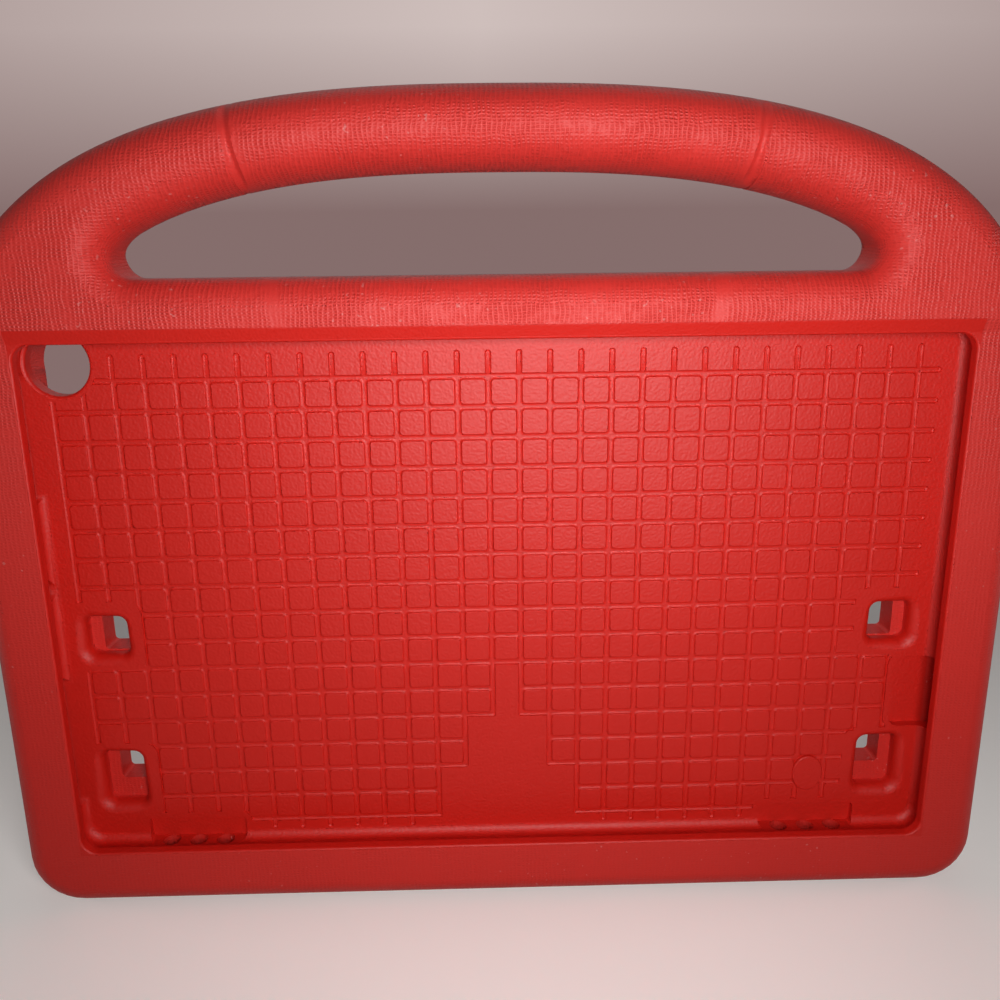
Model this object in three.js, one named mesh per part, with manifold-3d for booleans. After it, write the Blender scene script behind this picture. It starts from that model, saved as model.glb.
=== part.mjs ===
// Moulded foam case with a carrying handle for a ten inch tablet.
//
// One piece of foam: a thick frame round a tablet bay, a full round grip arched over the top, a thin
// back panel with a waffle of raised pads, ports for the tablet's sockets and four stand sockets.
// Millimetres, +Z up. The case stands on its flat foot and the bay faces -Y. The origin lies on the
// floor, under the middle of the overall box.
import * as THREE from 'three';
import { mergeVertices } from 'three/addons/utils/BufferGeometryUtils.js';
import Module from 'manifold-3d';

const wasm = await Module();
wasm.setup();

// The tablet that the bay holds
const TABLET_WIDTH = 262;
const TABLET_HEIGHT = 157.8;
const TABLET_THICKNESS = 9.8;
const TABLET_CORNER = 6;
const SIDE_CLEARANCE = 0.6;
const DEPTH_CLEARANCE = 0.4;

// Frame round the bay
const SIDE_RIM = 13.9;
const FOOT_RIM = 14.7;
const FOOT_CORNER = 16;
const TOP_RIM = 13.5;
const FRAME_ROUND = 7;
const LIP_THICKNESS = 3;
const LIP_LAP_TOP = 2.7;
const LIP_LAP_SIDE = 4.3;
const LIP_LAP_FOOT = 4.3;
const LIP_CORNER = 4.5;
const LIP_BEVEL_WIDTH = 2;
const LIP_BEVEL_DEPTH = 1.5;
const FRONT_STEP = 1.8;
const FRONT_STEP_RUN = 2.3;

// Handle
const OVERALL_DEPTH = 28;
const SHOULDER_RISE = 80;
const ARCH_POWER = 2.6;
const GRIP_HEIGHT = 21.5;
const HAND_WIDTH = 202.2;
const HAND_RISE = 26.2;
const HAND_ARCH_HALF = 122;
const HAND_CORNER = 5.5;
const HAND_EDGE_ROUND = 8.5;
const GRIP_LENGTH = 133;
const GRIP_MARK_WIDTH = 1.6;
const GRIP_MARK_DEPTH = 0.9;
const GRIP_MARK_LEAN = 0.2;

// Back panel
const PANEL_THICKNESS = 5;
const PANEL_FILLET = 2.8;
const BACK_INSET = 2;
const BACK_CORNER = 9;
const BACK_EDGE_ROUND = 3;

// Waffle of pads on the panel
const PAD_PITCH = 8.66;
const GROOVE_WIDTH = 2;
const GROOVE_FLOOR = 1.3;
const GROOVE_DEPTH = 0.6;
const WAFFLE_SHIFT = 5.8;
const WAFFLE_SIDE_MARGIN = 5;
const WAFFLE_HEAD_MARGIN = 6.6;
const WAFFLE_FOOT_MARGIN = 5;
const WAFFLE_FIRST_ROW = 14;
const WAFFLE_STUB = 6.5;
const PLAIN_PLATE_APEX = 58.4;
const PLAIN_PLATE_SLOPE = 0.5;
const PLAIN_PLATE_X = 1.47;
const PLAIN_MARGIN = 1.8;

// Camera hole at the upper left of the bay
const CAMERA_DIAMETER = 17.6;
const CAMERA_FROM_SIDE = 10;
const CAMERA_FROM_TOP = 9.2;
const EDGE_ROUND = 1;

// Ports through the left wall, from the bay's foot to their lower and upper ends
const UPPER_PORT = [110.3, 148.1];
const JACK_HEIGHT = 84.4;
const JACK_DIAMETER = 9.4;
const LOWER_PORT = [13.2, 57.1];
const PORT_CORNER = 3;

// Recess in the right wall
const RELIEF = [34, 57.6];
const RELIEF_REACH = 11.4;
const RELIEF_DEPTH = 3;
const RELIEF_INTO_WALL = 4;

// Speaker recesses above the foot, each with a row of sound holes down through it
const SPEAKER_LENGTH = 30.3;
const SPEAKER_FROM_SIDE = 20.1;
const SPEAKER_REACH = 7.4;
const SPEAKER_DEPTH = 2;
const SPEAKER_CORNER = 1.5;
const SOUND_HOLES = 3;
const SOUND_HOLE_DIAMETER = 5.4;
const SOUND_HOLE_PITCH = 8.5;

// Stand sockets, two on each side: lower and upper end above the bay's foot
const UPPER_SOCKET = [62.6, 75];
const LOWER_SOCKET = [12.5, 30.4];
const SOCKET_FROM_SIDE = 7.8;
const SOCKET_WIDTH = 12.2;
const SOCKET_STEP_DEPTH = 5;
const SOCKET_CORNER = 2.5;
const SOCKET_ROUND_SHARP = 1.8;
const SOCKET_ROUND_SOFT = 3.6;
const SOCKET_THROAT_WIDTH = 8.6;
const THROAT_SILL_UPPER = 0.4;
const THROAT_SILL_LOWER = 6.6;
const SOCKET_BOSS_WALL = 5;
const LOWER_BOSS_HEAD = 3.2;
const BOSS_CORNER = 4;

// Ejector mark on the panel
const MARK_WIDTH = 9.7;
const MARK_HEIGHT = 12;
const MARK_RISE = 0.5;
const MARK_ROOT = 1.2;
const MARK_X = 96;
const MARK_ABOVE_BAY = 18.3;

// Steps of the curves
const ARCH_STEPS = 14;
const CORNER_STEPS = 3;
const ROUND_STEPS = 4;
const SMALL_ROUND_STEPS = 2;
const CIRCLE_STEPS = 12;
const SMALL_CIRCLE_STEPS = 7;

// Derived places
const BAY_HALF_WIDTH = TABLET_WIDTH / 2 + SIDE_CLEARANCE;
const BAY_HEIGHT = TABLET_HEIGHT + 2 * SIDE_CLEARANCE;
const BAY_DEPTH = TABLET_THICKNESS + DEPTH_CLEARANCE;
const BAY_FOOT = FOOT_RIM;
const BAY_TOP = BAY_FOOT + BAY_HEIGHT;
const OUTER_HALF_WIDTH = BAY_HALF_WIDTH + SIDE_RIM;
const HAND_FOOT = BAY_TOP + TOP_RIM;
const HAND_TOP = HAND_FOOT + HAND_RISE;
const CASE_HEIGHT = HAND_TOP + GRIP_HEIGHT;
const ARCH_CENTRE = CASE_HEIGHT - SHOULDER_RISE;
const FRONT = -OVERALL_DEPTH / 2;
const BACK = OVERALL_DEPTH / 2;
const FRAME_FRONT = FRONT + FRONT_STEP;
const LIP_BACK = FRAME_FRONT + LIP_THICKNESS;
const PANEL_FRONT = LIP_BACK + BAY_DEPTH;
const PANEL_BACK = PANEL_FRONT + PANEL_THICKNESS;
const WINDOW_TOP = BAY_TOP - LIP_LAP_TOP;
const STEP_FOOT = WINDOW_TOP + LIP_BEVEL_WIDTH;
const STEP_HEAD = STEP_FOOT + FRONT_STEP_RUN;
const GRIP_ROUND = GRIP_HEIGHT / 2 - 0.15;
const GRIP_ROUND_DEPTH = OVERALL_DEPTH / 2 - 0.1;
const BEYOND = 4;

const quarterTurn = Math.PI / 2;
const blend = (edge0, edge1, value) => THREE.MathUtils.smoothstep(value, edge0, edge1);
const mix = THREE.MathUtils.lerp;

// Outlines are lists of points in the plane seen from the front, counterclockwise

// The points of a drawn shape, with the repeated ones at its joints dropped.
function outlineOf(shape, steps) {
  const drawn = shape.getPoints(steps);
  const apart = drawn.filter((point, i) => point.distanceTo(drawn[(i + 1) % drawn.length]) > 1e-4);
  return THREE.ShapeUtils.isClockWise(apart) ? apart.reverse() : apart;
}

// A rectangle with rounded corners.
function roundedBox(left, right, foot, head, radius) {
  const shape = new THREE.Shape();
  shape.absarc(left + radius, foot + radius, radius, 2 * quarterTurn, 3 * quarterTurn);
  shape.absarc(right - radius, foot + radius, radius, 3 * quarterTurn, 4 * quarterTurn);
  shape.absarc(right - radius, head - radius, radius, 0, quarterTurn);
  shape.absarc(left + radius, head - radius, radius, quarterTurn, 2 * quarterTurn);
  return outlineOf(shape, CORNER_STEPS / 2);
}

function ellipse(centreX, centreZ, halfWidth, halfHeight, steps) {
  const points = [];
  for (let i = 0; i < steps; i++) {
    const angle = 4 * quarterTurn * i / steps;
    const x = centreX + halfWidth * Math.cos(angle);
    points.push(new THREE.Vector2(x, centreZ + halfHeight * Math.sin(angle)));
  }
  return points;
}

// Height of an arch with flattened shoulders above its centre line.
function archHeight(x, halfWidth, rise) {
  const share = Math.min(1, Math.abs(x) / halfWidth);
  return rise * (1 - share ** ARCH_POWER) ** (1 / ARCH_POWER);
}

// The same outline moved out square to its edges; distance is a number or a function of the point.
function offset(points, distance) {
  const normals = points.map((point, i) => {
    const next = points[(i + 1) % points.length];
    return new THREE.Vector2(next.y - point.y, point.x - next.x).normalize();
  });
  return points.map((point, i) => {
    const before = normals[(i + points.length - 1) % points.length];
    const after = normals[i];
    const far = typeof distance === 'function' ? distance(point) : distance;
    const mitre = new THREE.Vector2().addVectors(before, after).multiplyScalar(far / (1 + before.dot(after)));
    return point.clone().add(mitre);
  });
}

// A ring lays an outline at a depth; depth is a number or a function of the outline's own point.
function ring(points, depth, source = points) {
  return points.map((point, i) => {
    const y = typeof depth === 'function' ? depth(source[i]) : depth;
    return new THREE.Vector3(point.x, y, point.y);
  });
}

// A closed skin over rings of equal length, from the front one to the back one.
function loft(rings) {
  const count = rings[0].length;
  const index = [];
  for (let r = 0; r + 1 < rings.length; r++) {
    for (let i = 0; i < count; i++) {
      const here = r * count + i;
      const next = r * count + (i + 1) % count;
      index.push(here, next + count, next, here, here + count, next + count);
    }
  }
  const flat = (points) => points.map((point) => new THREE.Vector2(point.x, point.z));
  for (const [a, b, c] of THREE.ShapeUtils.triangulateShape(flat(rings[0]), [])) {
    index.push(a, b, c);
  }
  const last = (rings.length - 1) * count;
  for (const [a, b, c] of THREE.ShapeUtils.triangulateShape(flat(rings.at(-1)), [])) {
    index.push(last + a, last + c, last + b);
  }
  const geometry = new THREE.BufferGeometry();
  const places = rings.flat().flatMap((point) => point.toArray());
  geometry.setAttribute('position', new THREE.Float32BufferAttribute(places, 3));
  geometry.setIndex(index);
  return geometry;
}

// A closed geometry as a solid that can be joined and cut.
function solid(geometry) {
  const bare = geometry.clone();
  bare.deleteAttribute('normal');
  bare.deleteAttribute('uv');
  const merged = mergeVertices(bare, 1e-4);
  const vertProperties = new Float32Array(merged.attributes.position.array);
  const triVerts = new Uint32Array(merged.index.array);
  return new wasm.Manifold(new wasm.Mesh({ numProp: 3, vertProperties, triVerts }));
}

// A straight cutter or block through the given depths.
function prism(points, front, back) {
  return solid(loft([ring(points, front), ring(points, back)]));
}

// A cutter with a rounded mouth at the given depth; round is a number or a function of the point.
function flaredCutter(points, mouth, end, round) {
  const inward = Math.sign(end - mouth);
  const roundAt = typeof round === 'function' ? round : () => round;
  const rings = [ring(offset(points, roundAt), mouth - inward * BEYOND)];
  for (let i = 0; i <= SMALL_ROUND_STEPS; i++) {
    const angle = quarterTurn * i / SMALL_ROUND_STEPS;
    const flare = offset(points, (point) => roundAt(point) * (1 - Math.sin(angle)));
    rings.push(ring(flare, (point) => mouth + inward * roundAt(point) * (1 - Math.cos(angle)), points));
  }
  rings.push(ring(points, end));
  return solid(loft(inward > 0 ? rings : rings.reverse()));
}

// Outer body, with a frame of even roundness and a grip that is round all the way

function caseOutline() {
  const cornerX = OUTER_HALF_WIDTH - FOOT_CORNER;
  const shape = new THREE.Shape();
  shape.absarc(-cornerX, FOOT_CORNER, FOOT_CORNER, 2 * quarterTurn, 3 * quarterTurn);
  shape.absarc(cornerX, FOOT_CORNER, FOOT_CORNER, 3 * quarterTurn, 4 * quarterTurn);
  for (let i = 0; i <= 2 * ARCH_STEPS; i++) {
    const angle = quarterTurn * i / ARCH_STEPS;
    const x = OUTER_HALF_WIDTH * Math.sign(Math.cos(angle)) * Math.abs(Math.cos(angle)) ** (2 / ARCH_POWER);
    shape.lineTo(x, ARCH_CENTRE + archHeight(x, OUTER_HALF_WIDTH, SHOULDER_RISE));
  }
  return outlineOf(shape, CORNER_STEPS);
}

// The opening for the hand: flat below, arched above along the grip.
function handOutline() {
  const end = HAND_WIDTH / 2;
  const rise = HAND_TOP - ARCH_CENTRE;
  const archEnd = end - HAND_CORNER;
  const archAt = (x) => ARCH_CENTRE + archHeight(x, HAND_ARCH_HALF, rise);
  const shape = new THREE.Shape();
  shape.absarc(-end + HAND_CORNER, HAND_FOOT + HAND_CORNER, HAND_CORNER, 2 * quarterTurn, 3 * quarterTurn);
  shape.absarc(end - HAND_CORNER, HAND_FOOT + HAND_CORNER, HAND_CORNER, 3 * quarterTurn, 4 * quarterTurn);
  shape.quadraticCurveTo(end, archAt(end), archEnd, archAt(archEnd));
  for (let i = 1; i < ARCH_STEPS; i++) {
    const x = mix(archEnd, -archEnd, i / ARCH_STEPS);
    shape.lineTo(x, archAt(x));
  }
  shape.lineTo(-archEnd, archAt(archEnd));
  shape.quadraticCurveTo(-end, archAt(end), -end, HAND_FOOT + HAND_CORNER);
  return outlineOf(shape, CORNER_STEPS);
}

// How much of the grip's roundness the outside and the hand opening have at a point.
const outerGripShare = (point) => blend(BAY_TOP - TOP_RIM, HAND_TOP, point.y);
const handGripShare = (point) => blend(HAND_FOOT, HAND_TOP - GRIP_HEIGHT / 2, point.y);

// The front lies deeper below the step than above it.
const frontAt = (point) => {
  const share = THREE.MathUtils.clamp((point.y - STEP_FOOT) / FRONT_STEP_RUN, 0, 1);
  return mix(FRAME_FRONT, FRONT, share);
};

function outerBody() {
  const outline = caseOutline();
  const wide = (point) => mix(FRAME_ROUND, GRIP_ROUND, outerGripShare(point));
  const deep = (point) => mix(FRAME_ROUND, GRIP_ROUND_DEPTH, outerGripShare(point));
  const edgeRing = (angle, side) => {
    const points = offset(outline, (point) => -wide(point) * (1 - Math.sin(angle)));
    const depth = (point) => {
      const face = side < 0 ? frontAt(point) : BACK;
      return face - side * deep(point) * (1 - Math.cos(angle));
    };
    return ring(points, depth, outline);
  };
  const rings = [ring(offset(outline, (point) => -wide(point)), FRONT - BEYOND)];
  for (let i = 0; i <= ROUND_STEPS; i++) {
    rings.push(edgeRing(quarterTurn * i / ROUND_STEPS, -1));
  }
  for (let i = ROUND_STEPS; i >= 0; i--) {
    rings.push(edgeRing(quarterTurn * i / ROUND_STEPS, 1));
  }
  return solid(loft(rings)).subtract(frontTrim());
}

// What lies before the front: a flat above the step, the step's slope, and a deeper flat below it.
function frontTrim() {
  const profile = new THREE.Shape();
  profile.moveTo(FRONT - 2 * BEYOND, -BEYOND);
  profile.lineTo(FRAME_FRONT, -BEYOND);
  profile.lineTo(FRAME_FRONT, STEP_FOOT);
  profile.lineTo(FRONT, STEP_HEAD);
  profile.lineTo(FRONT, CASE_HEIGHT + BEYOND);
  profile.lineTo(FRONT - 2 * BEYOND, CASE_HEIGHT + BEYOND);
  const reach = OUTER_HALF_WIDTH + BEYOND;
  return solid(alongX(profile, -reach, reach));
}

// A profile drawn in depth and height, extruded across the case.
function alongX(profile, left, right) {
  const geometry = new THREE.ExtrudeGeometry(profile, { depth: right - left, bevelEnabled: false });
  geometry.applyMatrix4(new THREE.Matrix4().set(0, 0, 1, left, 1, 0, 0, 0, 0, 1, 0, 0, 0, 0, 0, 1));
  return geometry;
}

function handCutter() {
  const outline = handOutline();
  const wide = (point) => mix(HAND_EDGE_ROUND, GRIP_ROUND, handGripShare(point));
  const deep = (point) => mix(HAND_EDGE_ROUND, GRIP_ROUND_DEPTH, handGripShare(point));
  const edgeRing = (angle, side) => {
    const points = offset(outline, (point) => wide(point) * (1 - Math.sin(angle)));
    const depth = (point) => side * (BACK - deep(point) * (1 - Math.cos(angle)));
    return ring(points, depth, outline);
  };
  const mouth = offset(outline, wide);
  const rings = [ring(mouth, FRONT - BEYOND)];
  for (let i = 0; i <= ROUND_STEPS; i++) {
    rings.push(edgeRing(quarterTurn * i / ROUND_STEPS, -1));
  }
  for (let i = ROUND_STEPS; i >= 0; i--) {
    rings.push(edgeRing(quarterTurn * i / ROUND_STEPS, 1));
  }
  rings.push(ring(mouth, BACK + BEYOND));
  return solid(loft(rings));
}

// Bay, from the bevelled window in front to the filleted corner along the panel

function bayCutter() {
  const wall = roundedBox(-BAY_HALF_WIDTH, BAY_HALF_WIDTH, BAY_FOOT, BAY_TOP, TABLET_CORNER + SIDE_CLEARANCE);
  const rings = [ring(wall, LIP_BACK)];
  for (let i = 0; i <= SMALL_ROUND_STEPS; i++) {
    const angle = quarterTurn * i / SMALL_ROUND_STEPS;
    const depth = PANEL_FRONT - PANEL_FILLET * (1 - Math.sin(angle));
    rings.push(ring(offset(wall, -PANEL_FILLET * (1 - Math.cos(angle))), depth));
  }
  return solid(loft(rings));
}

function windowCutter() {
  const halfWidth = BAY_HALF_WIDTH - LIP_LAP_SIDE;
  const edge = roundedBox(-halfWidth, halfWidth, BAY_FOOT + LIP_LAP_FOOT, WINDOW_TOP, LIP_CORNER);
  const slope = LIP_BEVEL_WIDTH / LIP_BEVEL_DEPTH;
  return solid(loft([
    ring(offset(edge, LIP_BEVEL_WIDTH + slope * BEYOND), FRAME_FRONT - BEYOND),
    ring(edge, FRAME_FRONT + LIP_BEVEL_DEPTH),
    ring(edge, LIP_BACK + BEYOND),
  ]));
}

// Back of the panel: a shallow well inside the rim, with a boss left standing round each stand socket

// The span between two distances from the middle, on the left (-1) or right (1) side.
const across = (side, near, far) => (side < 0 ? [-near, -far] : [far, near]);

// The outline of a stand socket, seen from the front.
function socketBox(side, [foot, head]) {
  const near = BAY_HALF_WIDTH - SOCKET_FROM_SIDE;
  const [left, right] = across(side, near, near - SOCKET_WIDTH);
  return roundedBox(left, right, BAY_FOOT + foot, BAY_FOOT + head, SOCKET_CORNER);
}

// The thick ground round each stand socket, which runs out into the side of the bay.
function socketBosses() {
  const inner = BAY_HALF_WIDTH - SOCKET_FROM_SIDE - SOCKET_WIDTH - SOCKET_BOSS_WALL;
  const bosses = [];
  for (const side of [-1, 1]) {
    const [left, right] = across(side, BAY_HALF_WIDTH + BEYOND, inner);
    const lowerHead = BAY_FOOT + LOWER_SOCKET[1] + LOWER_BOSS_HEAD;
    const upperFoot = BAY_FOOT + UPPER_SOCKET[0] - SOCKET_BOSS_WALL;
    const upperHead = BAY_FOOT + UPPER_SOCKET[1] + SOCKET_BOSS_WALL;
    bosses.push(roundedBox(left, right, BAY_FOOT - BEYOND, lowerHead, BOSS_CORNER));
    bosses.push(roundedBox(left, right, upperFoot, upperHead, BOSS_CORNER));
  }
  return bosses;
}

function backWell() {
  const edge = roundedBox(
    -BAY_HALF_WIDTH + BACK_INSET, BAY_HALF_WIDTH - BACK_INSET,
    BAY_FOOT + BACK_INSET, BAY_TOP - BACK_INSET, BACK_CORNER,
  );
  let well = flaredCutter(edge, BACK, PANEL_BACK, BACK_EDGE_ROUND);
  for (const outline of socketBosses()) {
    const narrow = offset(outline, -BACK_EDGE_ROUND / 2);
    const boss = loft([ring(outline, PANEL_BACK - BEYOND), ring(outline, BACK - BACK_EDGE_ROUND / 2),
      ring(narrow, BACK), ring(narrow, BACK + 2 * BEYOND)]);
    well = well.subtract(solid(boss));
  }
  return well;
}

// A socket's mouth is softer towards the outside and the foot than towards the middle and the head.
function socketRound(side, [foot, head]) {
  const middleX = side * (BAY_HALF_WIDTH - SOCKET_FROM_SIDE - SOCKET_WIDTH / 2);
  const middleZ = BAY_FOOT + (foot + head) / 2;
  return (point) => {
    const outward = side * (point.x - middleX) / SOCKET_WIDTH;
    const downward = (middleZ - point.y) / (head - foot);
    const share = THREE.MathUtils.clamp((1 + outward + downward) / 2, 0, 1);
    return mix(SOCKET_ROUND_SHARP, SOCKET_ROUND_SOFT, share);
  };
}

function socketCutters() {
  const cutters = [];
  const floor = PANEL_FRONT + SOCKET_STEP_DEPTH;
  const far = BAY_HALF_WIDTH - SOCKET_FROM_SIDE - SOCKET_WIDTH;
  for (const side of [-1, 1]) {
    for (const [span, sill] of [[LOWER_SOCKET, THROAT_SILL_LOWER], [UPPER_SOCKET, THROAT_SILL_UPPER]]) {
      cutters.push(flaredCutter(socketBox(side, span), PANEL_FRONT, floor, socketRound(side, span)));
      const [left, right] = across(side, far + SOCKET_THROAT_WIDTH, far);
      const throat = roundedBox(left, right, BAY_FOOT + span[0] + sill, BAY_FOOT + span[1], SOCKET_CORNER / 2);
      cutters.push(prism(throat, floor - BEYOND / 2, BACK + BEYOND));
    }
  }
  return cutters;
}

// Openings for the tablet's camera, plugs and speakers

function cameraCutter() {
  const x = -BAY_HALF_WIDTH + CAMERA_FROM_SIDE;
  const z = BAY_TOP - CAMERA_FROM_TOP;
  const rim = ellipse(x, z, CAMERA_DIAMETER / 2, CAMERA_DIAMETER / 2, CIRCLE_STEPS);
  return flaredCutter(rim, PANEL_FRONT, BACK + BEYOND, EDGE_ROUND);
}

// A port drawn in depth and height, cut through the left wall.
function wallPort(outline) {
  const shape = new THREE.Shape(outline);
  const reach = BAY_HALF_WIDTH - PANEL_FILLET - EDGE_ROUND;
  return solid(alongX(shape, -OUTER_HALF_WIDTH - BEYOND, -reach));
}

function reliefBox(grow) {
  return roundedBox(
    BAY_HALF_WIDTH - RELIEF_REACH - grow, BAY_HALF_WIDTH + RELIEF_INTO_WALL,
    BAY_FOOT + RELIEF[0] - grow, BAY_FOOT + RELIEF[1] + grow, PORT_CORNER + grow,
  );
}

function sideCutters() {
  const portFront = LIP_BACK + DEPTH_CLEARANCE;
  const long = ([foot, head]) => wallPort(
    roundedBox(portFront, PANEL_FRONT, BAY_FOOT + foot, BAY_FOOT + head, PORT_CORNER));
  const jackDepth = (portFront + PANEL_FRONT) / 2;
  const jack = ellipse(jackDepth, BAY_FOOT + JACK_HEIGHT, JACK_DIAMETER / 2, JACK_DIAMETER / 2, CIRCLE_STEPS);
  return [long(UPPER_PORT), long(LOWER_PORT), wallPort(jack),
    prism(reliefBox(0), portFront, PANEL_FRONT + RELIEF_DEPTH)];
}

function speakerBox(side, grow) {
  const near = BAY_HALF_WIDTH - SPEAKER_FROM_SIDE;
  const [left, right] = across(side, near, near - SPEAKER_LENGTH);
  const foot = BAY_FOOT - grow;
  const head = BAY_FOOT + SPEAKER_REACH + grow;
  return roundedBox(left - grow, right + grow, foot, head, SPEAKER_CORNER + grow);
}

function speakerCutters() {
  const cutters = [];
  for (const side of [-1, 1]) {
    cutters.push(prism(speakerBox(side, 0), LIP_BACK + DEPTH_CLEARANCE, PANEL_FRONT + SPEAKER_DEPTH));
    const middle = side * (BAY_HALF_WIDTH - SPEAKER_FROM_SIDE - SPEAKER_LENGTH / 2);
    const length = BAY_FOOT + SPEAKER_CORNER + BEYOND;
    for (let i = 0; i < SOUND_HOLES; i++) {
      const radius = SOUND_HOLE_DIAMETER / 2;
      const hole = new THREE.CylinderGeometry(radius, radius, length, SMALL_CIRCLE_STEPS);
      const x = middle + (i - (SOUND_HOLES - 1) / 2) * SOUND_HOLE_PITCH;
      hole.rotateX(quarterTurn).translate(x, PANEL_FRONT + SPEAKER_DEPTH - radius, length / 2 - BEYOND);
      cutters.push(solid(hole));
    }
  }
  return cutters;
}

// Two shallow lines round the handle mark the ends of the grip.
function gripMarks() {
  const half = GRIP_LENGTH / 2;
  const middle = (HAND_TOP + CASE_HEIGHT) / 2;
  const section = (grow) => ellipse(
    0, middle, GRIP_ROUND_DEPTH + grow, GRIP_HEIGHT / 2 + grow, CIRCLE_STEPS);
  return [-1, 1].map((side) => {
    const at = side * half;
    const drop = CASE_HEIGHT - ARCH_CENTRE - archHeight(half, OUTER_HALF_WIDTH, SHOULDER_RISE);
    const around = solid(alongX(new THREE.Shape(section(BEYOND)), -GRIP_MARK_WIDTH / 2, GRIP_MARK_WIDTH / 2));
    const core = solid(alongX(new THREE.Shape(section(-GRIP_MARK_DEPTH)), -GRIP_MARK_WIDTH, GRIP_MARK_WIDTH));
    const placed = around.subtract(core)
      .translate([0, 0, -middle])
      .rotate([0, THREE.MathUtils.radToDeg(side * GRIP_MARK_LEAN), 0])
      .translate([at, 0, middle - drop]);
    return placed;
  });
}

// The raised oval that the mould's ejector leaves on the panel.
function ejectorMark() {
  const oval = ellipse(MARK_X, BAY_FOOT + MARK_ABOVE_BAY, MARK_WIDTH / 2, MARK_HEIGHT / 2, CIRCLE_STEPS);
  return solid(loft([ring(offset(oval, -MARK_RISE), PANEL_FRONT - MARK_RISE),
    ring(oval, PANEL_FRONT + MARK_ROOT)]));
}

// Waffle: grooves on a square grid, stopped short of the plain ground round holes and recesses

// Plain ground round the camera hole, the sockets, the relief and the speaker recesses.
function plainGround() {
  const x = -BAY_HALF_WIDTH + CAMERA_FROM_SIDE;
  const z = BAY_TOP - CAMERA_FROM_TOP;
  const radius = CAMERA_DIAMETER / 2 + PLAIN_MARGIN;
  return [ellipse(x, z, radius, radius, CIRCLE_STEPS), reliefBox(PLAIN_MARGIN),
    speakerBox(-1, PLAIN_MARGIN), speakerBox(1, PLAIN_MARGIN), ...socketBosses()];
}

function waffleCutter() {
  const firstColumn = Math.ceil((-BAY_HALF_WIDTH + WAFFLE_SIDE_MARGIN - WAFFLE_SHIFT) / PAD_PITCH);
  const lastColumn = Math.floor((BAY_HALF_WIDTH - WAFFLE_SIDE_MARGIN - WAFFLE_SHIFT) / PAD_PITCH);
  const columnAt = (column) => WAFFLE_SHIFT + column * PAD_PITCH;
  const rowAt = (row) => BAY_TOP - WAFFLE_FIRST_ROW - row * PAD_PITCH;
  const lastRow = Math.floor((BAY_HEIGHT - WAFFLE_FIRST_ROW - WAFFLE_FOOT_MARGIN) / PAD_PITCH);
  const floor = GROOVE_FLOOR / 2;

  // A cell lies right of its groove column and above its groove row; the plain triangle has no pads.
  const isPad = (column, row) => {
    const x = columnAt(column) + PAD_PITCH / 2;
    const z = rowAt(row) + PAD_PITCH / 2;
    const plateHalf = (BAY_FOOT + PLAIN_PLATE_APEX - z) * PLAIN_PLATE_SLOPE;
    return Math.abs(x - PLAIN_PLATE_X) > plateHalf;
  };

  const spread = GROOVE_WIDTH - GROOVE_FLOOR;
  const strip = (left, foot, right, head) => {
    const points = [[left, foot], [right, foot], [right, head], [left, head]]
      .map(([x, z]) => new THREE.Vector2(x, z));
    return solid(loft([ring(offset(points, spread), PANEL_FRONT - GROOVE_DEPTH),
      ring(points, PANEL_FRONT + GROOVE_DEPTH)]));
  };

  // Runs of neighbouring groove lengths become one long strip.
  const strips = [];
  const addRuns = (count, present, place) => {
    let start = -1;
    for (let i = 0; i <= count; i++) {
      const here = i < count && present(i);
      if (here && start < 0) {
        start = i;
      }
      if (!here && start >= 0) {
        strips.push(place(start, i));
        start = -1;
      }
    }
  };
  const headEnd = BAY_TOP - WAFFLE_HEAD_MARGIN;
  const footEnd = BAY_FOOT + PANEL_FILLET;
  for (let column = firstColumn; column <= lastColumn; column++) {
    const x = columnAt(column);
    addRuns(
      lastRow + 2,
      (row) => isPad(column - 1, row) || isPad(column, row),
      (from, to) => strip(
        x - floor, Math.max(rowAt(to - 1) - floor, footEnd),
        x + floor, from === 0 ? headEnd : rowAt(from - 1) + floor,
      ),
    );
  }
  const cells = lastColumn - firstColumn + 1;
  const rightEnd = columnAt(lastColumn) + WAFFLE_STUB;
  for (let row = 0; row <= lastRow; row++) {
    const z = rowAt(row);
    addRuns(
      cells,
      (i) => isPad(firstColumn + i, row) || isPad(firstColumn + i, row + 1),
      (from, to) => strip(
        columnAt(firstColumn + from) - floor, z - floor,
        to === cells ? rightEnd : columnAt(firstColumn + to) + floor, z + floor,
      ),
    );
  }
  let grooves = strips.reduce((all, one) => all.add(one));
  for (const outline of plainGround()) {
    grooves = grooves.subtract(prism(outline, PANEL_FRONT - BEYOND, PANEL_FRONT + BEYOND));
  }
  return grooves;
}

function foamCase() {
  let body = outerBody().subtract(handCutter());
  const cutters = [bayCutter(), windowCutter(), backWell(), cameraCutter(),
    ...socketCutters(), ...sideCutters(), ...speakerCutters(), ...gripMarks(), waffleCutter()];
  for (const cutter of cutters) {
    body = body.subtract(cutter);
  }
  return body.add(ejectorMark());
}

// A solid as the mesh that a scene holds.
function meshOf(name, body, material) {
  const { vertProperties, triVerts } = body.getMesh();
  const geometry = new THREE.BufferGeometry();
  geometry.setAttribute('position', new THREE.Float32BufferAttribute(vertProperties, 3));
  geometry.setIndex(new THREE.Uint32BufferAttribute(triVerts, 1));
  geometry.computeVertexNormals();
  const mesh = new THREE.Mesh(geometry, material);
  mesh.name = name;
  return mesh;
}

const redFoam = new THREE.MeshStandardMaterial({ color: 0xc8322b, roughness: 0.62, metalness: 0 });

const tabletCase = new THREE.Group();
tabletCase.add(meshOf('foam_case', foamCase(), redFoam));

export default tabletCase;
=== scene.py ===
"""Moulded foam tablet case with a carrying handle: its foam body, its waffle of pads and its stage."""

import math

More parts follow.
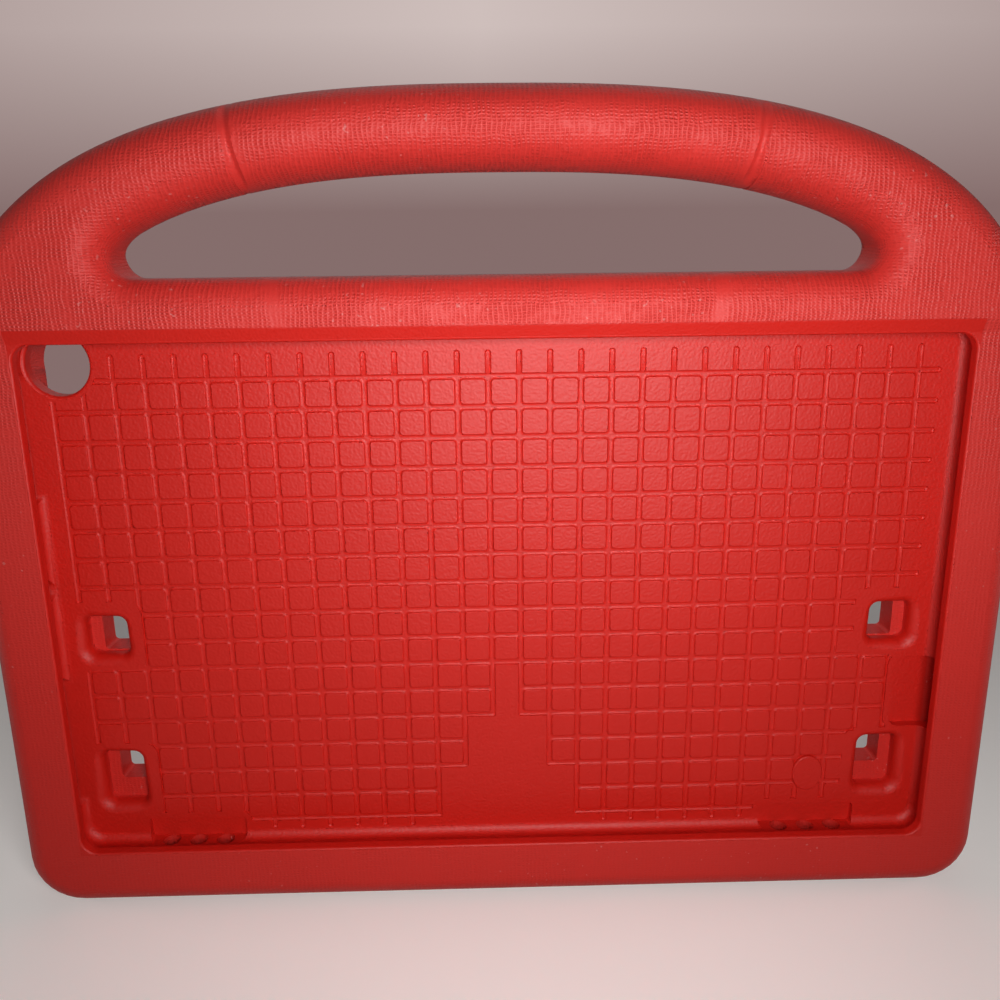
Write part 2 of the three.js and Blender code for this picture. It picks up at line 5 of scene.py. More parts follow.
import bmesh
import bpy
from mathutils import Matrix, Vector


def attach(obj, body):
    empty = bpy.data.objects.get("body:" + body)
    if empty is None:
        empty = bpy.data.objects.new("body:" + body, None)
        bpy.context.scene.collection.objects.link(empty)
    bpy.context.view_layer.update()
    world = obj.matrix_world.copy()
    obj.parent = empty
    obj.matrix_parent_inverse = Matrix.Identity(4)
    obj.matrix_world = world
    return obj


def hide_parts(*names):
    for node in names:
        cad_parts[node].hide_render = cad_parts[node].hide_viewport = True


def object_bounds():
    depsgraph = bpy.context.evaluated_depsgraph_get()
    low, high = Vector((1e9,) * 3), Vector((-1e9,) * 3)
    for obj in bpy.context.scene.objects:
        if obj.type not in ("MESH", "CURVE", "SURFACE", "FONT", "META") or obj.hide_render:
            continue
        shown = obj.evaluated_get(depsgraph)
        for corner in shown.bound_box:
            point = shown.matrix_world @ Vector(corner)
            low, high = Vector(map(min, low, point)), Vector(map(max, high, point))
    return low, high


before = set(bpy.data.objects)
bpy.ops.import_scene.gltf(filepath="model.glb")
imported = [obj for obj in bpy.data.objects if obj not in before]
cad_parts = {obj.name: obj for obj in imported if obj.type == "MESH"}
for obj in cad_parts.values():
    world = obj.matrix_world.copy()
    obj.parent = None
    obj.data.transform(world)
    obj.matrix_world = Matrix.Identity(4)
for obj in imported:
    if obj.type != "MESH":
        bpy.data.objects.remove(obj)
CAD_LOW, CAD_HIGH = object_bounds()

bl_info = {
    "name": "Foam tablet case",
    "version": (1, 0, 0),
    "blender": (4, 5, 0),
    "location": "3D View > Sidebar > Tablet Case",
    "description": "Builds the finish of a moulded foam tablet case with a handle",
    "category": "Object",
}

# Lengths are in millimetres up to the moment when a mesh is made
MM = 0.001
CASE_NODE = "foam_case"
BODY = "root"

# Outer sizes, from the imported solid
OUTER_HALF_WIDTH = CAD_HIGH.x / MM
CASE_HEIGHT = CAD_HIGH.z / MM
FRONT = CAD_LOW.y / MM
BACK = CAD_HIGH.y / MM

# Frame round the bay
BAY_HALF_WIDTH = 131.6
BAY_FOOT = 14.7
BAY_TOP = 173.7
BAY_CORNER = 6.6
FOOT_CORNER = 16
FRAME_ROUND = 7
FRAME_FRONT = FRONT + 1.8
LIP_THICKNESS = 3
LIP_BACK = FRAME_FRONT + LIP_THICKNESS
LIP_LAP_TOP = 2.7
LIP_LAP = 4.3
LIP_CORNER = 4.5
LIP_EDGE_ROUND = 0.7
BAND_FOOT = BAY_TOP - LIP_LAP_TOP
BAND_HEAD = BAND_FOOT + 3.9
BAND_ROUND = 0.5

# Handle
ARCH_CENTRE = CASE_HEIGHT - 80
ARCH_POWER = 2.6
ROUNDS_GROW_FROM = BAY_TOP - 13.5
GRIP_HEIGHT = 21.5
HAND_FOOT = BAY_TOP + 13.5
HAND_TOP = CASE_HEIGHT - GRIP_HEIGHT
HAND_HALF_WIDTH = 101.1
HAND_ARCH_HALF = 122
HAND_CORNER = 5.5
HAND_EDGE_ROUND = 8.5
GRIP_ROUND = GRIP_HEIGHT / 2 - 0.15
GRIP_ROUND_DEPTH = BACK - 0.1
GRIP_LENGTH = 133
GRIP_MARK_WIDTH = 4
GRIP_MARK_DEPTH = 0.75
GRIP_MARK_LEAN = 0.2
GRIP_MARK_CLEAR = 0.15
GRIP_MARK_FADE = (0.12, 0.75)

# Panel
PANEL_FRONT = LIP_BACK + 10.2
PANEL_BACK = PANEL_FRONT + 5
PANEL_FILLET = 2.8
BACK_INSET = 2
BACK_CORNER = 9
BACK_EDGE_ROUND = 3

# Waffle
PAD_PITCH = 8.66
GROOVE_WIDTH = 1.8
GROOVE_DEPTH = 0.6
GROOVE_END_ROUND = GROOVE_WIDTH / 2 * 0.96
PAD_GAP = 0.3
PAD_CORNER = 1.0
PAD_EDGE = 0.1
PAD_SUNK = 0.3
WAFFLE_SHIFT = 5.8
WAFFLE_SIDE_MARGIN = 5
WAFFLE_HEAD_MARGIN = 6.6
WAFFLE_FOOT_MARGIN = 5
WAFFLE_FIRST_ROW = 14
WAFFLE_STUB = 6.5
PLAIN_PLATE_APEX = 58.4
PLAIN_PLATE_SLOPE = 0.5
PLAIN_PLATE_X = 1.47
PLAIN_MARGIN = 1.8

# Openings; heights are above the bay's foot
CAMERA_RADIUS = 8.8
CAMERA_X = -BAY_HALF_WIDTH + 10
CAMERA_Z = BAY_TOP - 9.2
EDGE_ROUND = 1
UPPER_PORT = (110.3, 148.1)
LOWER_PORT = (13.2, 57.1)
JACK_HEIGHT = 84.4
JACK_RADIUS = 4.7
PORT_CORNER = 3
PORT_FRONT = LIP_BACK + 0.4
RELIEF = (34, 57.6)
RELIEF_REACH = 11.4
RELIEF_DEPTH = 3
RELIEF_INTO_WALL = 4
SPEAKER_MIDDLE = 96.35
SPEAKER_LENGTH = 30.3
SPEAKER_REACH = 7.4
SPEAKER_DEPTH = 2
SPEAKER_CORNER = 1.5
SOUND_HOLES = 3
SOUND_HOLE_RADIUS = 2.7
SOUND_HOLE_PITCH = 8.5
SOUND_HOLE_OVER = 1
UPPER_SOCKET = (62.6, 75)
LOWER_SOCKET = (12.5, 30.4)
SOCKET_NEAR = BAY_HALF_WIDTH - 7.8
SOCKET_WIDTH = 12.2
SOCKET_FAR = SOCKET_NEAR - SOCKET_WIDTH
SOCKET_STEP_DEPTH = 5
SOCKET_CORNER = 2.5
SOCKET_ROUND_SHARP = 1.8
SOCKET_ROUND_SOFT = 3.6
THROAT_WIDTH = 8.6
THROAT_SILL_UPPER = 0.4
THROAT_SILL_LOWER = 6.6
BOSS_WALL = 5
LOWER_BOSS_HEAD = 3.2
BOSS_CORNER = 4
MARK_HALF_WIDTH = 4.85
MARK_HALF_HEIGHT = 6
MARK_RISE = 0.5
MARK_X = 96
MARK_Z = BAY_FOOT + 18.3

# How finely curves are drawn, and from what angle on an edge is shaded as sharp
ARCH_STEPS = 44
CORNER_STEPS = 8
ROUND_STEPS = 10
SMALL_STEPS = 5
CIRCLE_STEPS = 40
MARK_STEPS = 10
GROOVE_STEPS = 5
PAD_STEPS = 5
PAD_CORNER_STEPS = 3
SHARP_DEGREES = 32
PAD_SHARP_DEGREES = 60
QUARTER = math.pi / 2

# How far a cutter reaches past what it cuts, and the least difference between two planes
BEYOND = 4
HAIR = 0.01

# Skin of the foam: where it changes
SKIN_MARGIN = 0.3
BAY_SKIN_BACK = PANEL_BACK - 1
# Painted sheen: the linen outside turns paler upwards between these heights
PAINTED_SHEEN_RISE = (BAY_TOP - 110, BAY_TOP - 20)
WEAVE_RISE = (BAY_TOP - 60, BAY_TOP)
WEAVE_BESIDE_MARK = (0.3 * GRIP_MARK_WIDTH, 0.7 * GRIP_MARK_WIDTH)

# Skin of the foam: scale of each noise, in spots to a metre, and of patches the values they fade between
WANDER_SCALE = 240.0
WEAR = (70.0, (0.35, 0.65))
FINE_WEAR = (600.0, (0.3, 0.7))
CELL_SCALE = 1400.0
CLOUD_SCALE = 18.0
LINT = (900.0, (0.77, 0.82))
LINT_FIELD = (35.0, (0.52, 0.62))

# Skin of the foam: strength of each effect, as a share
# Share of the paler linen colour, with its painted sheen, low down
PAINTED_SHEEN_LEAST = 0.4
WEAVE_LEAST = 0.3
WEAVE_AT_MARK = 0.25
WEAR_LEAST = 0.3
CELL_RISE = 0.3
CELL_RISE_IN_BAY = 0.1
SHADE_DARKNESS = 0.5
CLOUD_SHADE = 0.16
# Painted shade in the pits between the linen's threads
PIT_PAINTED_SHADE = 0.4
LINT_SHADE = 0.35
CLOUD_ROUGHNESS = 0.06
OUTSIDE_ROUGHNESS = 0.03

# Camera as fitted to the photograph: focal length in pixels, turn in radians, shift in millimetres
PHOTO_SIZE = 1000
FOCAL_PIXELS = 931.0
CAMERA_TURN = (0.2615, -0.0196, -0.0169)
CAMERA_SHIFT = (5.758, -1.240, 268.73)
SENSOR_WIDTH = 36.0
FITTED_ROW = 4
FITTED_HEIGHT = BAY_TOP - WAFFLE_FIRST_ROW - FITTED_ROW * PAD_PITCH
FITTED_ORIGIN = Vector((WAFFLE_SHIFT, PANEL_FRONT, FITTED_HEIGHT)) * MM

# Stage, in metres: each lamp's place, size, spread in degrees and power next to the front lamp's
STAGE_SPAN = 3.0
BACKDROP_AT = 0.9
FLOOR_BOUNCE = 0.15
FLOOR_GLOW = 0.25
# Painted shadow of the case on the floor: the glow fades over this depth behind the case, by this share
FLOOR_SHADOW_PAINT = (-0.03, 0.20)
FLOOR_SHADOW_PAINT_SHARE = 0.65
# Painted shade on the backdrop: darker below these heights and towards the sides
BACKDROP_SHADE_RISE = (0.24, 0.44)
BACKDROP_SHADE_FALL = 0.55
BACKDROP_SHADE_MIDDLE = (0.3, 1.0)
LAMPS_AIM = Vector((0, 0, 0.165))
LAMPS = (
    ("front_lamp", (0.033, -0.28, 0.182), 0.10, 130, 1.0),
    ("back_lamp", (0.0, 0.85, 0.65), 1.20, 180, 3.8),
    ("left_lamp", (-0.80, 0.05, 0.16), 0.20, 180, 1.2),
    ("right_lamp", (0.80, 0.05, 0.16), 0.20, 180, 1.2),
)


# Node trees


class Wire:
    """A socket that takes part in sums."""

    def __init__(self, shop, socket):
        self.shop = shop
        self.socket = socket

    def beside(self, name):
        return Wire(self.shop, self.socket.node.outputs[name])

    def _math(self, operation, *values):
        return self.shop.node("ShaderNodeMath", {"operation": operation}, dict(enumerate(values)))

    def __add__(self, other):
        return self._math("ADD", self, other)

    def __radd__(self, other):
        return self._math("ADD", other, self)

    def __sub__(self, other):
        return self._math("SUBTRACT", self, other)

    def __rsub__(self, other):
        return self._math("SUBTRACT", other, self)

    def __mul__(self, other):
        return self._math("MULTIPLY", self, other)

    def __rmul__(self, other):
        return self._math("MULTIPLY", other, self)

    def __truediv__(self, other):
        return self._math("DIVIDE", self, other)

    def __rtruediv__(self, other):
        return self._math("DIVIDE", other, self)

    def above(self, edge):
        return self._math("GREATER_THAN", self, edge)

    def below(self, edge):
        return self._math("LESS_THAN", self, edge)

    def most(self, other):
        return self._math("MAXIMUM", self, other)

    def absolute(self):
        return self._math("ABSOLUTE", self)

    def sine(self):
        return self._math("SINE", self)

    def ramp(self, start, end):
        """From 0 to 1 as the value goes from start to end."""
        return self.shop.node("ShaderNodeMapRange", {"clamp": True}, {
            "Value": self, "From Min": start, "From Max": end, "To Min": 0.0, "To Max": 1.0})

    def lifted(self, least):
        """From least to 1 as the value goes from 0 to 1."""
        return least + self * (1 - least)


class Shop:
    """Makes the nodes of one tree."""

    def __init__(self, tree):
        self.tree = tree
        tree.nodes.clear()

    def node(self, kind, settings=None, values=None, output=0):
        made = self.tree.nodes.new(kind)
        for name, value in (settings or {}).items():
            setattr(made, name, value)
        for key, value in (values or {}).items():
            socket = made.inputs[key]
            wires = value if isinstance(value, list) else [value]
            for wire in wires:
                if isinstance(wire, Wire):
                    self.tree.links.new(wire.socket, socket)
                else:
                    socket.default_value = wire
        return Wire(self, made.outputs[output]) if made.outputs else made

    def mix(self, share, first, second):
        """One colour turning into another; a colour is a wire or three numbers."""
        colours = [one if isinstance(one, Wire) else (*one, 1.0) for one in (first, second)]
        factor, a, b, result = 0, 6, 7, 2
        return self.node("ShaderNodeMix", {"data_type": "RGBA"},
                         {factor: share, a: colours[0], b: colours[1]}, result)


# Outlines are lists of (x, z) in the plane seen from the front, counterclockwise


def mix(a, b, share):
    return a + (b - a) * share


def smooth(edge0, edge1, value):
    share = min(1, max(0, (value - edge0) / (edge1 - edge0)))
    return share * share * (3 - 2 * share)


def arc(x, z, radius, start, end, steps):
    angles = [mix(start, end, i / steps) for i in range(steps + 1)]
    return [(x + radius * math.cos(angle), z + radius * math.sin(angle)) for angle in angles]


def rounded_box(left, right, foot, head, radius, steps=SMALL_STEPS):
    points = arc(left + radius, foot + radius, radius, 2 * QUARTER, 3 * QUARTER, steps)
    points += arc(right - radius, foot + radius, radius, 3 * QUARTER, 4 * QUARTER, steps)
    points += arc(right - radius, head - radius, radius, 0, QUARTER, steps)
    points += arc(left + radius, head - radius, radius, QUARTER, 2 * QUARTER, steps)
    return points


def ellipse(x, z, half_width, half_height, steps=CIRCLE_STEPS):
    angles = [4 * QUARTER * i / steps for i in range(steps)]
    return [(x + half_width * math.cos(angle), z + half_height * math.sin(angle)) for angle in angles]


def across(side, near, far):
    """The span between two distances from the middle, on the left (-1) or right (1) side."""
    return (-near, -far) if side < 0 else (far, near)


def arch_height(x, half_width, rise):
    share = min(1, abs(x) / half_width)
    return rise * (1 - share ** ARCH_POWER) ** (1 / ARCH_POWER)


def offset(points, distance):
    """The outline moved out square to its edges; distance is a number or a function of the point."""
    normals = []
    for point, after in zip(points, points[1:] + points[:1]):
        step = Vector((after[1] - point[1], point[0] - after[0]))
        normals.append(step.normalized())
    moved = []
    for i, point in enumerate(points):
        far = distance(point) if callable(distance) else distance
        both = normals[i - 1] + normals[i]
        mitre = both * (far / (1 + normals[i - 1].dot(normals[i])))
        moved.append((point[0] + mitre.x, point[1] + mitre.y))
    return moved


def quarter_round(steps):
    """Along a quarter round, from start to end: how far it still stands off and how far it has turned."""
    angles = [QUARTER * i / steps for i in range(steps + 1)]
    return [(1 - math.sin(angle), 1 - math.cos(angle)) for angle in angles]


def ring(points, depth, source=None):
    """An outline laid at a depth; depth is a number or a function of the source's own point."""
    source = source or points
    return [(x, depth(near) if callable(depth) else depth, z) for (x, z), near in zip(points, source)]


def loft(rings):
    """The corners and faces of a closed skin over rings, from the front one to the back one."""
    count = len(rings[0])
    faces = [tuple(range(count))]
    for r in range(len(rings) - 1):
        for i in range(count):
            here = r * count + i
            beside = r * count + (i + 1) % count
            faces.append((here, here + count, beside + count, beside))
    last = (len(rings) - 1) * count
    faces.append(tuple(range(last + count - 1, last - 1, -1)))
    return [corner for one in rings for corner in one], faces


def loop_skin(rings):
    """The skin over rings whose last one leads back to the first."""
    corners, faces = loft(rings + rings[:1])
    first = len(corners) - len(rings[0])
    return corners[:first], [tuple(i - first if i >= first else i for i in face) for face in faces[1:-1]]


def prism(points, front, back):
    return loft([ring(points, front), ring(points, back)])


def upright_prism(plan, foot, head):
    """A prism that stands on a plan drawn in width and depth."""
    corners, faces = prism(plan, foot, head)
    return [(x, depth, height) for x, height, depth in corners], faces


def flared(points, mouth, end, flare):
    """A cutter with a rounded mouth at the given depth; flare is a number or a function of the point."""
    inward = math.copysign(1, end - mouth)
    flare_at = flare if callable(flare) else lambda point: flare
    rings = [ring(offset(points, flare_at), mouth - inward * BEYOND)]
    for off, turned in quarter_round(SMALL_STEPS):
        wide = offset(points, lambda point: flare_at(point) * off)
        rings.append(ring(wide, lambda point: mouth + inward * flare_at(point) * turned, points))
    rings.append(ring(points, end))
    return loft(rings if inward > 0 else rings[::-1])


def along_x(profile, left, right):
    """A profile drawn in depth and height, counterclockwise seen from the right, drawn out across."""
    corners, faces = loft([ring(profile, -right), ring(profile, -left)])
    return [(-y, x, z) for x, y, z in corners], faces


def together(parts):
    """Several separate skins as one list of corners and faces."""
    corners, faces = [], []
    for part_corners, part_faces in parts:
        base = len(corners)
        corners += part_corners
        faces += [tuple(base + i for i in face) for face in part_faces]
    return corners, faces


# Objects


def new_object(name, mesh):
    made = bpy.data.objects.new(name, mesh)
    bpy.context.scene.collection.objects.link(made)
    return made


def face_outwards(mesh):
    grown = bmesh.new()
    grown.from_mesh(mesh)
    bmesh.ops.recalc_face_normals(grown, faces=grown.faces)
    grown.to_mesh(mesh)
    grown.free()


def skin_object(name, skin):
    """An object from corners in millimetres and faces."""
    corners, faces = skin
    mesh = bpy.data.meshes.new(name)
    mesh.from_pydata([Vector(corner) * MM for corner in corners], [], faces)
    face_outwards(mesh)
    return new_object(name, mesh)


def settle(made):
    """Turns an object's modifiers into its mesh."""
    graph = bpy.context.evaluated_depsgraph_get()
    mesh = bpy.data.meshes.new_from_object(made.evaluated_get(graph))
    made.modifiers.clear()
    before = made.data
    made.data = mesh
    bpy.data.meshes.remove(before)
    return made


def work(made, skins, operation="DIFFERENCE"):
    """Cuts the skins out of an object, or joins them to it, one after another."""
    cutters = [skin_object("cutter", skin) for skin in skins]
    for cutter in cutters:
        modifier = made.modifiers.new("work", "BOOLEAN")
        modifier.operation = operation
        modifier.solver = "MANIFOLD"
        modifier.object = cutter
    settle(made)
    for cutter in cutters:
        mesh = cutter.data
        bpy.data.objects.remove(cutter)
        bpy.data.meshes.remove(mesh)
    return made


def as_skin(made):
    """An object's mesh as corners and faces, with the object taken away."""
    mesh = made.data
    corners = [tuple(vertex.co / MM) for vertex in mesh.vertices]
    faces = [tuple(face.vertices) for face in mesh.polygons]
    bpy.data.objects.remove(made)
    bpy.data.meshes.remove(mesh)
    return corners, faces


def finish_piece(made, material, sharp_degrees):
    """Shades a piece smoothly between its sharp edges, and puts it on the case's body."""
    mesh = made.data
    mesh.materials.clear()
    mesh.materials.append(material)
    mesh.polygons.foreach_set("use_smooth", [True] * len(mesh.polygons))
    mesh.set_sharp_from_angle(angle=math.radians(sharp_degrees))
    weighted = made.modifiers.new("weighted", "WEIGHTED_NORMAL")
    weighted.keep_sharp = True
    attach(made, BODY)
    return made


# Outer body and handle


def case_outline():
    corner = OUTER_HALF_WIDTH - FOOT_CORNER
    points = arc(-corner, FOOT_CORNER, FOOT_CORNER, 2 * QUARTER, 3 * QUARTER, CORNER_STEPS)
    points += arc(corner, FOOT_CORNER, FOOT_CORNER, 3 * QUARTER, 4 * QUARTER, CORNER_STEPS)
    for i in range(2 * ARCH_STEPS + 1):
        swing = math.cos(QUARTER * i / ARCH_STEPS)
        x = math.copysign(OUTER_HALF_WIDTH * abs(swing) ** (2 / ARCH_POWER), swing)
        points.append((x, ARCH_CENTRE + arch_height(x, OUTER_HALF_WIDTH, CASE_HEIGHT - ARCH_CENTRE)))
    return points


def hand_outline():
    end = HAND_HALF_WIDTH
    arch_end = end - HAND_CORNER

    def arch_at(x):
        return ARCH_CENTRE + arch_height(x, HAND_ARCH_HALF, HAND_TOP - ARCH_CENTRE)

    def corner(side):
        """The upper corner: a curve from the upright end into the arch, drawn from the end."""
        start, middle, stop = (
            Vector((side * x, z)) for x, z in
            ((end, HAND_FOOT + HAND_CORNER), (end, arch_at(end)), (arch_end, arch_at(arch_end))))
        shares = [i / CORNER_STEPS for i in range(1, CORNER_STEPS + 1)]
        return [tuple(start.lerp(middle, t).lerp(middle.lerp(stop, t), t)) for t in shares]

    corner_height = HAND_FOOT + HAND_CORNER
    points = arc(-arch_end, corner_height, HAND_CORNER, 2 * QUARTER, 3 * QUARTER, CORNER_STEPS)
    points += arc(arch_end, corner_height, HAND_CORNER, 3 * QUARTER, 4 * QUARTER, CORNER_STEPS)
    points += corner(1)
    for i in range(1, ARCH_STEPS):
        x = mix(arch_end, -arch_end, i / ARCH_STEPS)
        points.append((x, arch_at(x)))
    points += corner(-1)[::-1]
    return points


def growing_round(least, foot, head):
    """Width and depth, as functions of a point, of an edge round that grows upwards to the grip's own."""

    def share(point):
        return smooth(foot, head, point[1])

    def wide(point):
        return mix(least, GRIP_ROUND, share(point))

    def deep(point):
        return mix(least, GRIP_ROUND_DEPTH, share(point))

    return wide, deep


def edge_rings(outline, wide, deep, inward, face_at):
    """Rings round both rounded edges of an outline: front edge first."""
    rings = []
    rounds = quarter_round(ROUND_STEPS)
    for side, order in ((-1, rounds), (1, rounds[::-1])):
        for off, turned in order:
            moved = offset(outline, lambda point: inward * wide(point) * off)
            depths = [face_at(point, side) - side * deep(point) * turned for point in outline]
            rings.append([(x, depth, z) for (x, z), depth in zip(moved, depths)])
    return rings


def front_depth(z):
    """The frame's front, then a straight band that leans out above the bay, then the handle's front."""
    slope = (FRONT - FRAME_FRONT) / (BAND_HEAD - BAND_FOOT)
    over = max(0, z - BAND_HEAD + BAND_ROUND)
    bend = min(over, 2 * BAND_ROUND)
    climb = min(max(z, BAND_FOOT), BAND_HEAD + BAND_ROUND) - BAND_FOOT - bend * bend / (4 * BAND_ROUND)
    return FRAME_FRONT + slope * climb


def outer_body():
    outline = case_outline()
    wide, deep = growing_round(FRAME_ROUND, ROUNDS_GROW_FROM, HAND_TOP)
    rings = edge_rings(outline, wide, deep, -1,
                       lambda point, side: BACK if side > 0 else front_depth(point[1]))
    face = offset(outline, lambda point: -wide(point))
    body = skin_object("foam_body", loft([ring(face, FRONT - BEYOND)] + rings))

    heights = [BAND_FOOT]
    heights += [BAND_HEAD + BAND_ROUND * (2 * i / ROUND_STEPS - 1) for i in range(ROUND_STEPS + 1)]
    profile = [(FRONT - 2 * BEYOND, -BEYOND), (FRAME_FRONT, -BEYOND)]
    profile += [(front_depth(z), z) for z in heights]
    profile += [(FRONT, CASE_HEIGHT + BEYOND), (FRONT - 2 * BEYOND, CASE_HEIGHT + BEYOND)]
    reach = OUTER_HALF_WIDTH + BEYOND
    return work(body, [along_x(profile, -reach, reach)])


def hand_cutter():
    outline = hand_outline()
    wide, deep = growing_round(HAND_EDGE_ROUND, HAND_FOOT, HAND_TOP - GRIP_HEIGHT / 2)
    mouth = offset(outline, wide)
    rings = edge_rings(outline, wide, deep, 1, lambda point, side: side * BACK)
    return loft([ring(mouth, FRONT - BEYOND)] + rings + [ring(mouth, BACK + BEYOND)])


def grip_marks():
    """Two shallow lines round the handle, at the ends of the grip."""
    half = GRIP_LENGTH / 2
    lean = math.sin(GRIP_MARK_LEAN)
    reach = lean * GRIP_HEIGHT / 2
    head = ARCH_CENTRE + arch_height(half + reach, OUTER_HALF_WIDTH, CASE_HEIGHT - ARCH_CENTRE)
    foot = ARCH_CENTRE + arch_height(half - reach, HAND_ARCH_HALF, HAND_TOP - ARCH_CENTRE)
    middle, half_height = (head + foot) / 2, (head - foot) / 2

    def groove(share):
        """How far the cutter stands out of the grip at a place across the mark, where the mark is deepest."""
        return GRIP_MARK_CLEAR - (GRIP_MARK_CLEAR + GRIP_MARK_DEPTH) * (1 + math.cos(2 * QUARTER * share)) / 2

    def mark_ring(side, share, grow):
        """A ring round the grip at a place across the mark; the mark fades over the grip and under it."""
        corners = []
        for y, z in ellipse(0, 0, 1, 1, 2 * CIRCLE_STEPS):
            shown = smooth(*GRIP_MARK_FADE, abs(y))
            out = grow if grow > GRIP_MARK_CLEAR else mix(GRIP_MARK_CLEAR, grow, shown)
            z *= half_height + out
            x = side * (half + lean * z) + share * GRIP_MARK_WIDTH / 2
            corners.append((x, y * (BACK + out), middle + z))
        return corners

    shares = [1 - 2 * i / MARK_STEPS for i in range(MARK_STEPS + 1)]
    across_mark = [(-1, BEYOND), (1, BEYOND)] + [(share, groove(share)) for share in shares]
    return [loop_skin([mark_ring(side, share, grow) for share, grow in across_mark]) for side in (-1, 1)]


# Bay, back and openings


def bay_cutter():
    wall = rounded_box(-BAY_HALF_WIDTH, BAY_HALF_WIDTH, BAY_FOOT, BAY_TOP, BAY_CORNER, CORNER_STEPS)
    rings = [ring(wall, LIP_BACK)]
    for off, turned in quarter_round(CORNER_STEPS):
        rings.append(ring(offset(wall, -PANEL_FILLET * turned), PANEL_FRONT - PANEL_FILLET * off))
    return loft(rings)


def window_cutter():
    half = BAY_HALF_WIDTH - LIP_LAP
    edge = rounded_box(-half, half, BAY_FOOT + LIP_LAP, BAY_TOP - LIP_LAP_TOP, LIP_CORNER, CORNER_STEPS)
    rings = [ring(offset(edge, LIP_EDGE_ROUND), FRAME_FRONT - BEYOND)]
    for off, turned in quarter_round(SMALL_STEPS):
        rings.append(ring(offset(edge, LIP_EDGE_ROUND * off), FRAME_FRONT + LIP_EDGE_ROUND * turned))
    rings.append(ring(edge, LIP_BACK + BEYOND))
    return loft(rings)


def socket_bosses():
    """The thick ground round each stand socket, which runs out into the side of the bay."""
    bosses = []
    for side in (-1, 1):
        left, right = across(side, BAY_HALF_WIDTH + BEYOND, SOCKET_FAR - BOSS_WALL)
        for foot, head in ((-BEYOND, LOWER_SOCKET[1] + LOWER_BOSS_HEAD),
                           (UPPER_SOCKET[0] - BOSS_WALL, UPPER_SOCKET[1] + BOSS_WALL)):
            bosses.append(rounded_box(left, right, BAY_FOOT + foot, BAY_FOOT + head, BOSS_CORNER))
    return bosses


def back_well():
    edge = rounded_box(-BAY_HALF_WIDTH + BACK_INSET, BAY_HALF_WIDTH - BACK_INSET, BAY_FOOT + BACK_INSET,
                       BAY_TOP - BACK_INSET, BACK_CORNER, CORNER_STEPS)
    well = skin_object("well", flared(edge, BACK, PANEL_BACK, BACK_EDGE_ROUND))
    soft = BACK_EDGE_ROUND / 2
    bosses = []
    for outline in socket_bosses():
        rings = [ring(outline, PANEL_BACK - BEYOND)]
        for off, turned in quarter_round(SMALL_STEPS):
            rings.append(ring(offset(outline, -soft * turned), BACK - soft * off))
        rings.append(ring(offset(outline, -soft), BACK + 2 * BEYOND))
        bosses.append(loft(rings))
    return as_skin(work(well, bosses))


def socket_flare(side, span):
    """A socket's mouth is softer towards the outside and the foot."""
    middle_x = side * (SOCKET_NEAR + SOCKET_FAR) / 2
    middle_z = BAY_FOOT + sum(span) / 2

    def flare(point):
        outward = side * (point[0] - middle_x) / SOCKET_WIDTH
        downward = (middle_z - point[1]) / (span[1] - span[0])
        return mix(SOCKET_ROUND_SHARP, SOCKET_ROUND_SOFT, min(1, max(0, (1 + outward + downward) / 2)))

    return flare


def socket_cutters():
    cutters = []
    floor = PANEL_FRONT + SOCKET_STEP_DEPTH
    for side in (-1, 1):
        for span, sill in ((LOWER_SOCKET, THROAT_SILL_LOWER), (UPPER_SOCKET, THROAT_SILL_UPPER)):
            foot, head = BAY_FOOT + span[0], BAY_FOOT + span[1]
            left, right = across(side, SOCKET_NEAR, SOCKET_FAR)
            mouth = rounded_box(left, right, foot, head, SOCKET_CORNER)
            cutters.append(flared(mouth, PANEL_FRONT, floor, socket_flare(side, span)))
            left, right = across(side, SOCKET_FAR + THROAT_WIDTH, SOCKET_FAR)
            throat = rounded_box(left, right, foot + sill, head, SOCKET_CORNER / 2)
            cutters.append(prism(throat, floor - BEYOND / 2, BACK + BEYOND))
    return cutters


def camera_hole():
    circle = ellipse(CAMERA_X, CAMERA_Z, CAMERA_RADIUS, CAMERA_RADIUS)
    return flared(circle, PANEL_FRONT, BACK + BEYOND, EDGE_ROUND)


def wall_port(outline):
    """A port drawn in depth and height, cut through the left wall."""
    return along_x(outline, -OUTER_HALF_WIDTH - BEYOND, -BAY_HALF_WIDTH + PANEL_FILLET + EDGE_ROUND)


def relief_box(grow):
    return rounded_box(BAY_HALF_WIDTH - RELIEF_REACH - grow, BAY_HALF_WIDTH + RELIEF_INTO_WALL,
                       BAY_FOOT + RELIEF[0] - grow, BAY_FOOT + RELIEF[1] + grow, PORT_CORNER + grow)


def speaker_box(side, grow):
    middle = side * SPEAKER_MIDDLE
    half = SPEAKER_LENGTH / 2 + grow
    return rounded_box(middle - half, middle + half, BAY_FOOT - grow, BAY_FOOT + SPEAKER_REACH + grow,
                       SPEAKER_CORNER + grow)


def side_cutters():
    """The three ports through the left wall, and the relief beside the right one."""
    ports = [rounded_box(PORT_FRONT, PANEL_FRONT, BAY_FOOT + foot, BAY_FOOT + head, PORT_CORNER)
             for foot, head in (UPPER_PORT, LOWER_PORT)]
    ports.append(ellipse((PORT_FRONT + PANEL_FRONT) / 2, BAY_FOOT + JACK_HEIGHT, JACK_RADIUS, JACK_RADIUS))
    relief = prism(relief_box(0), PORT_FRONT, PANEL_FRONT + RELIEF_DEPTH)
    return [wall_port(port) for port in ports] + [relief]


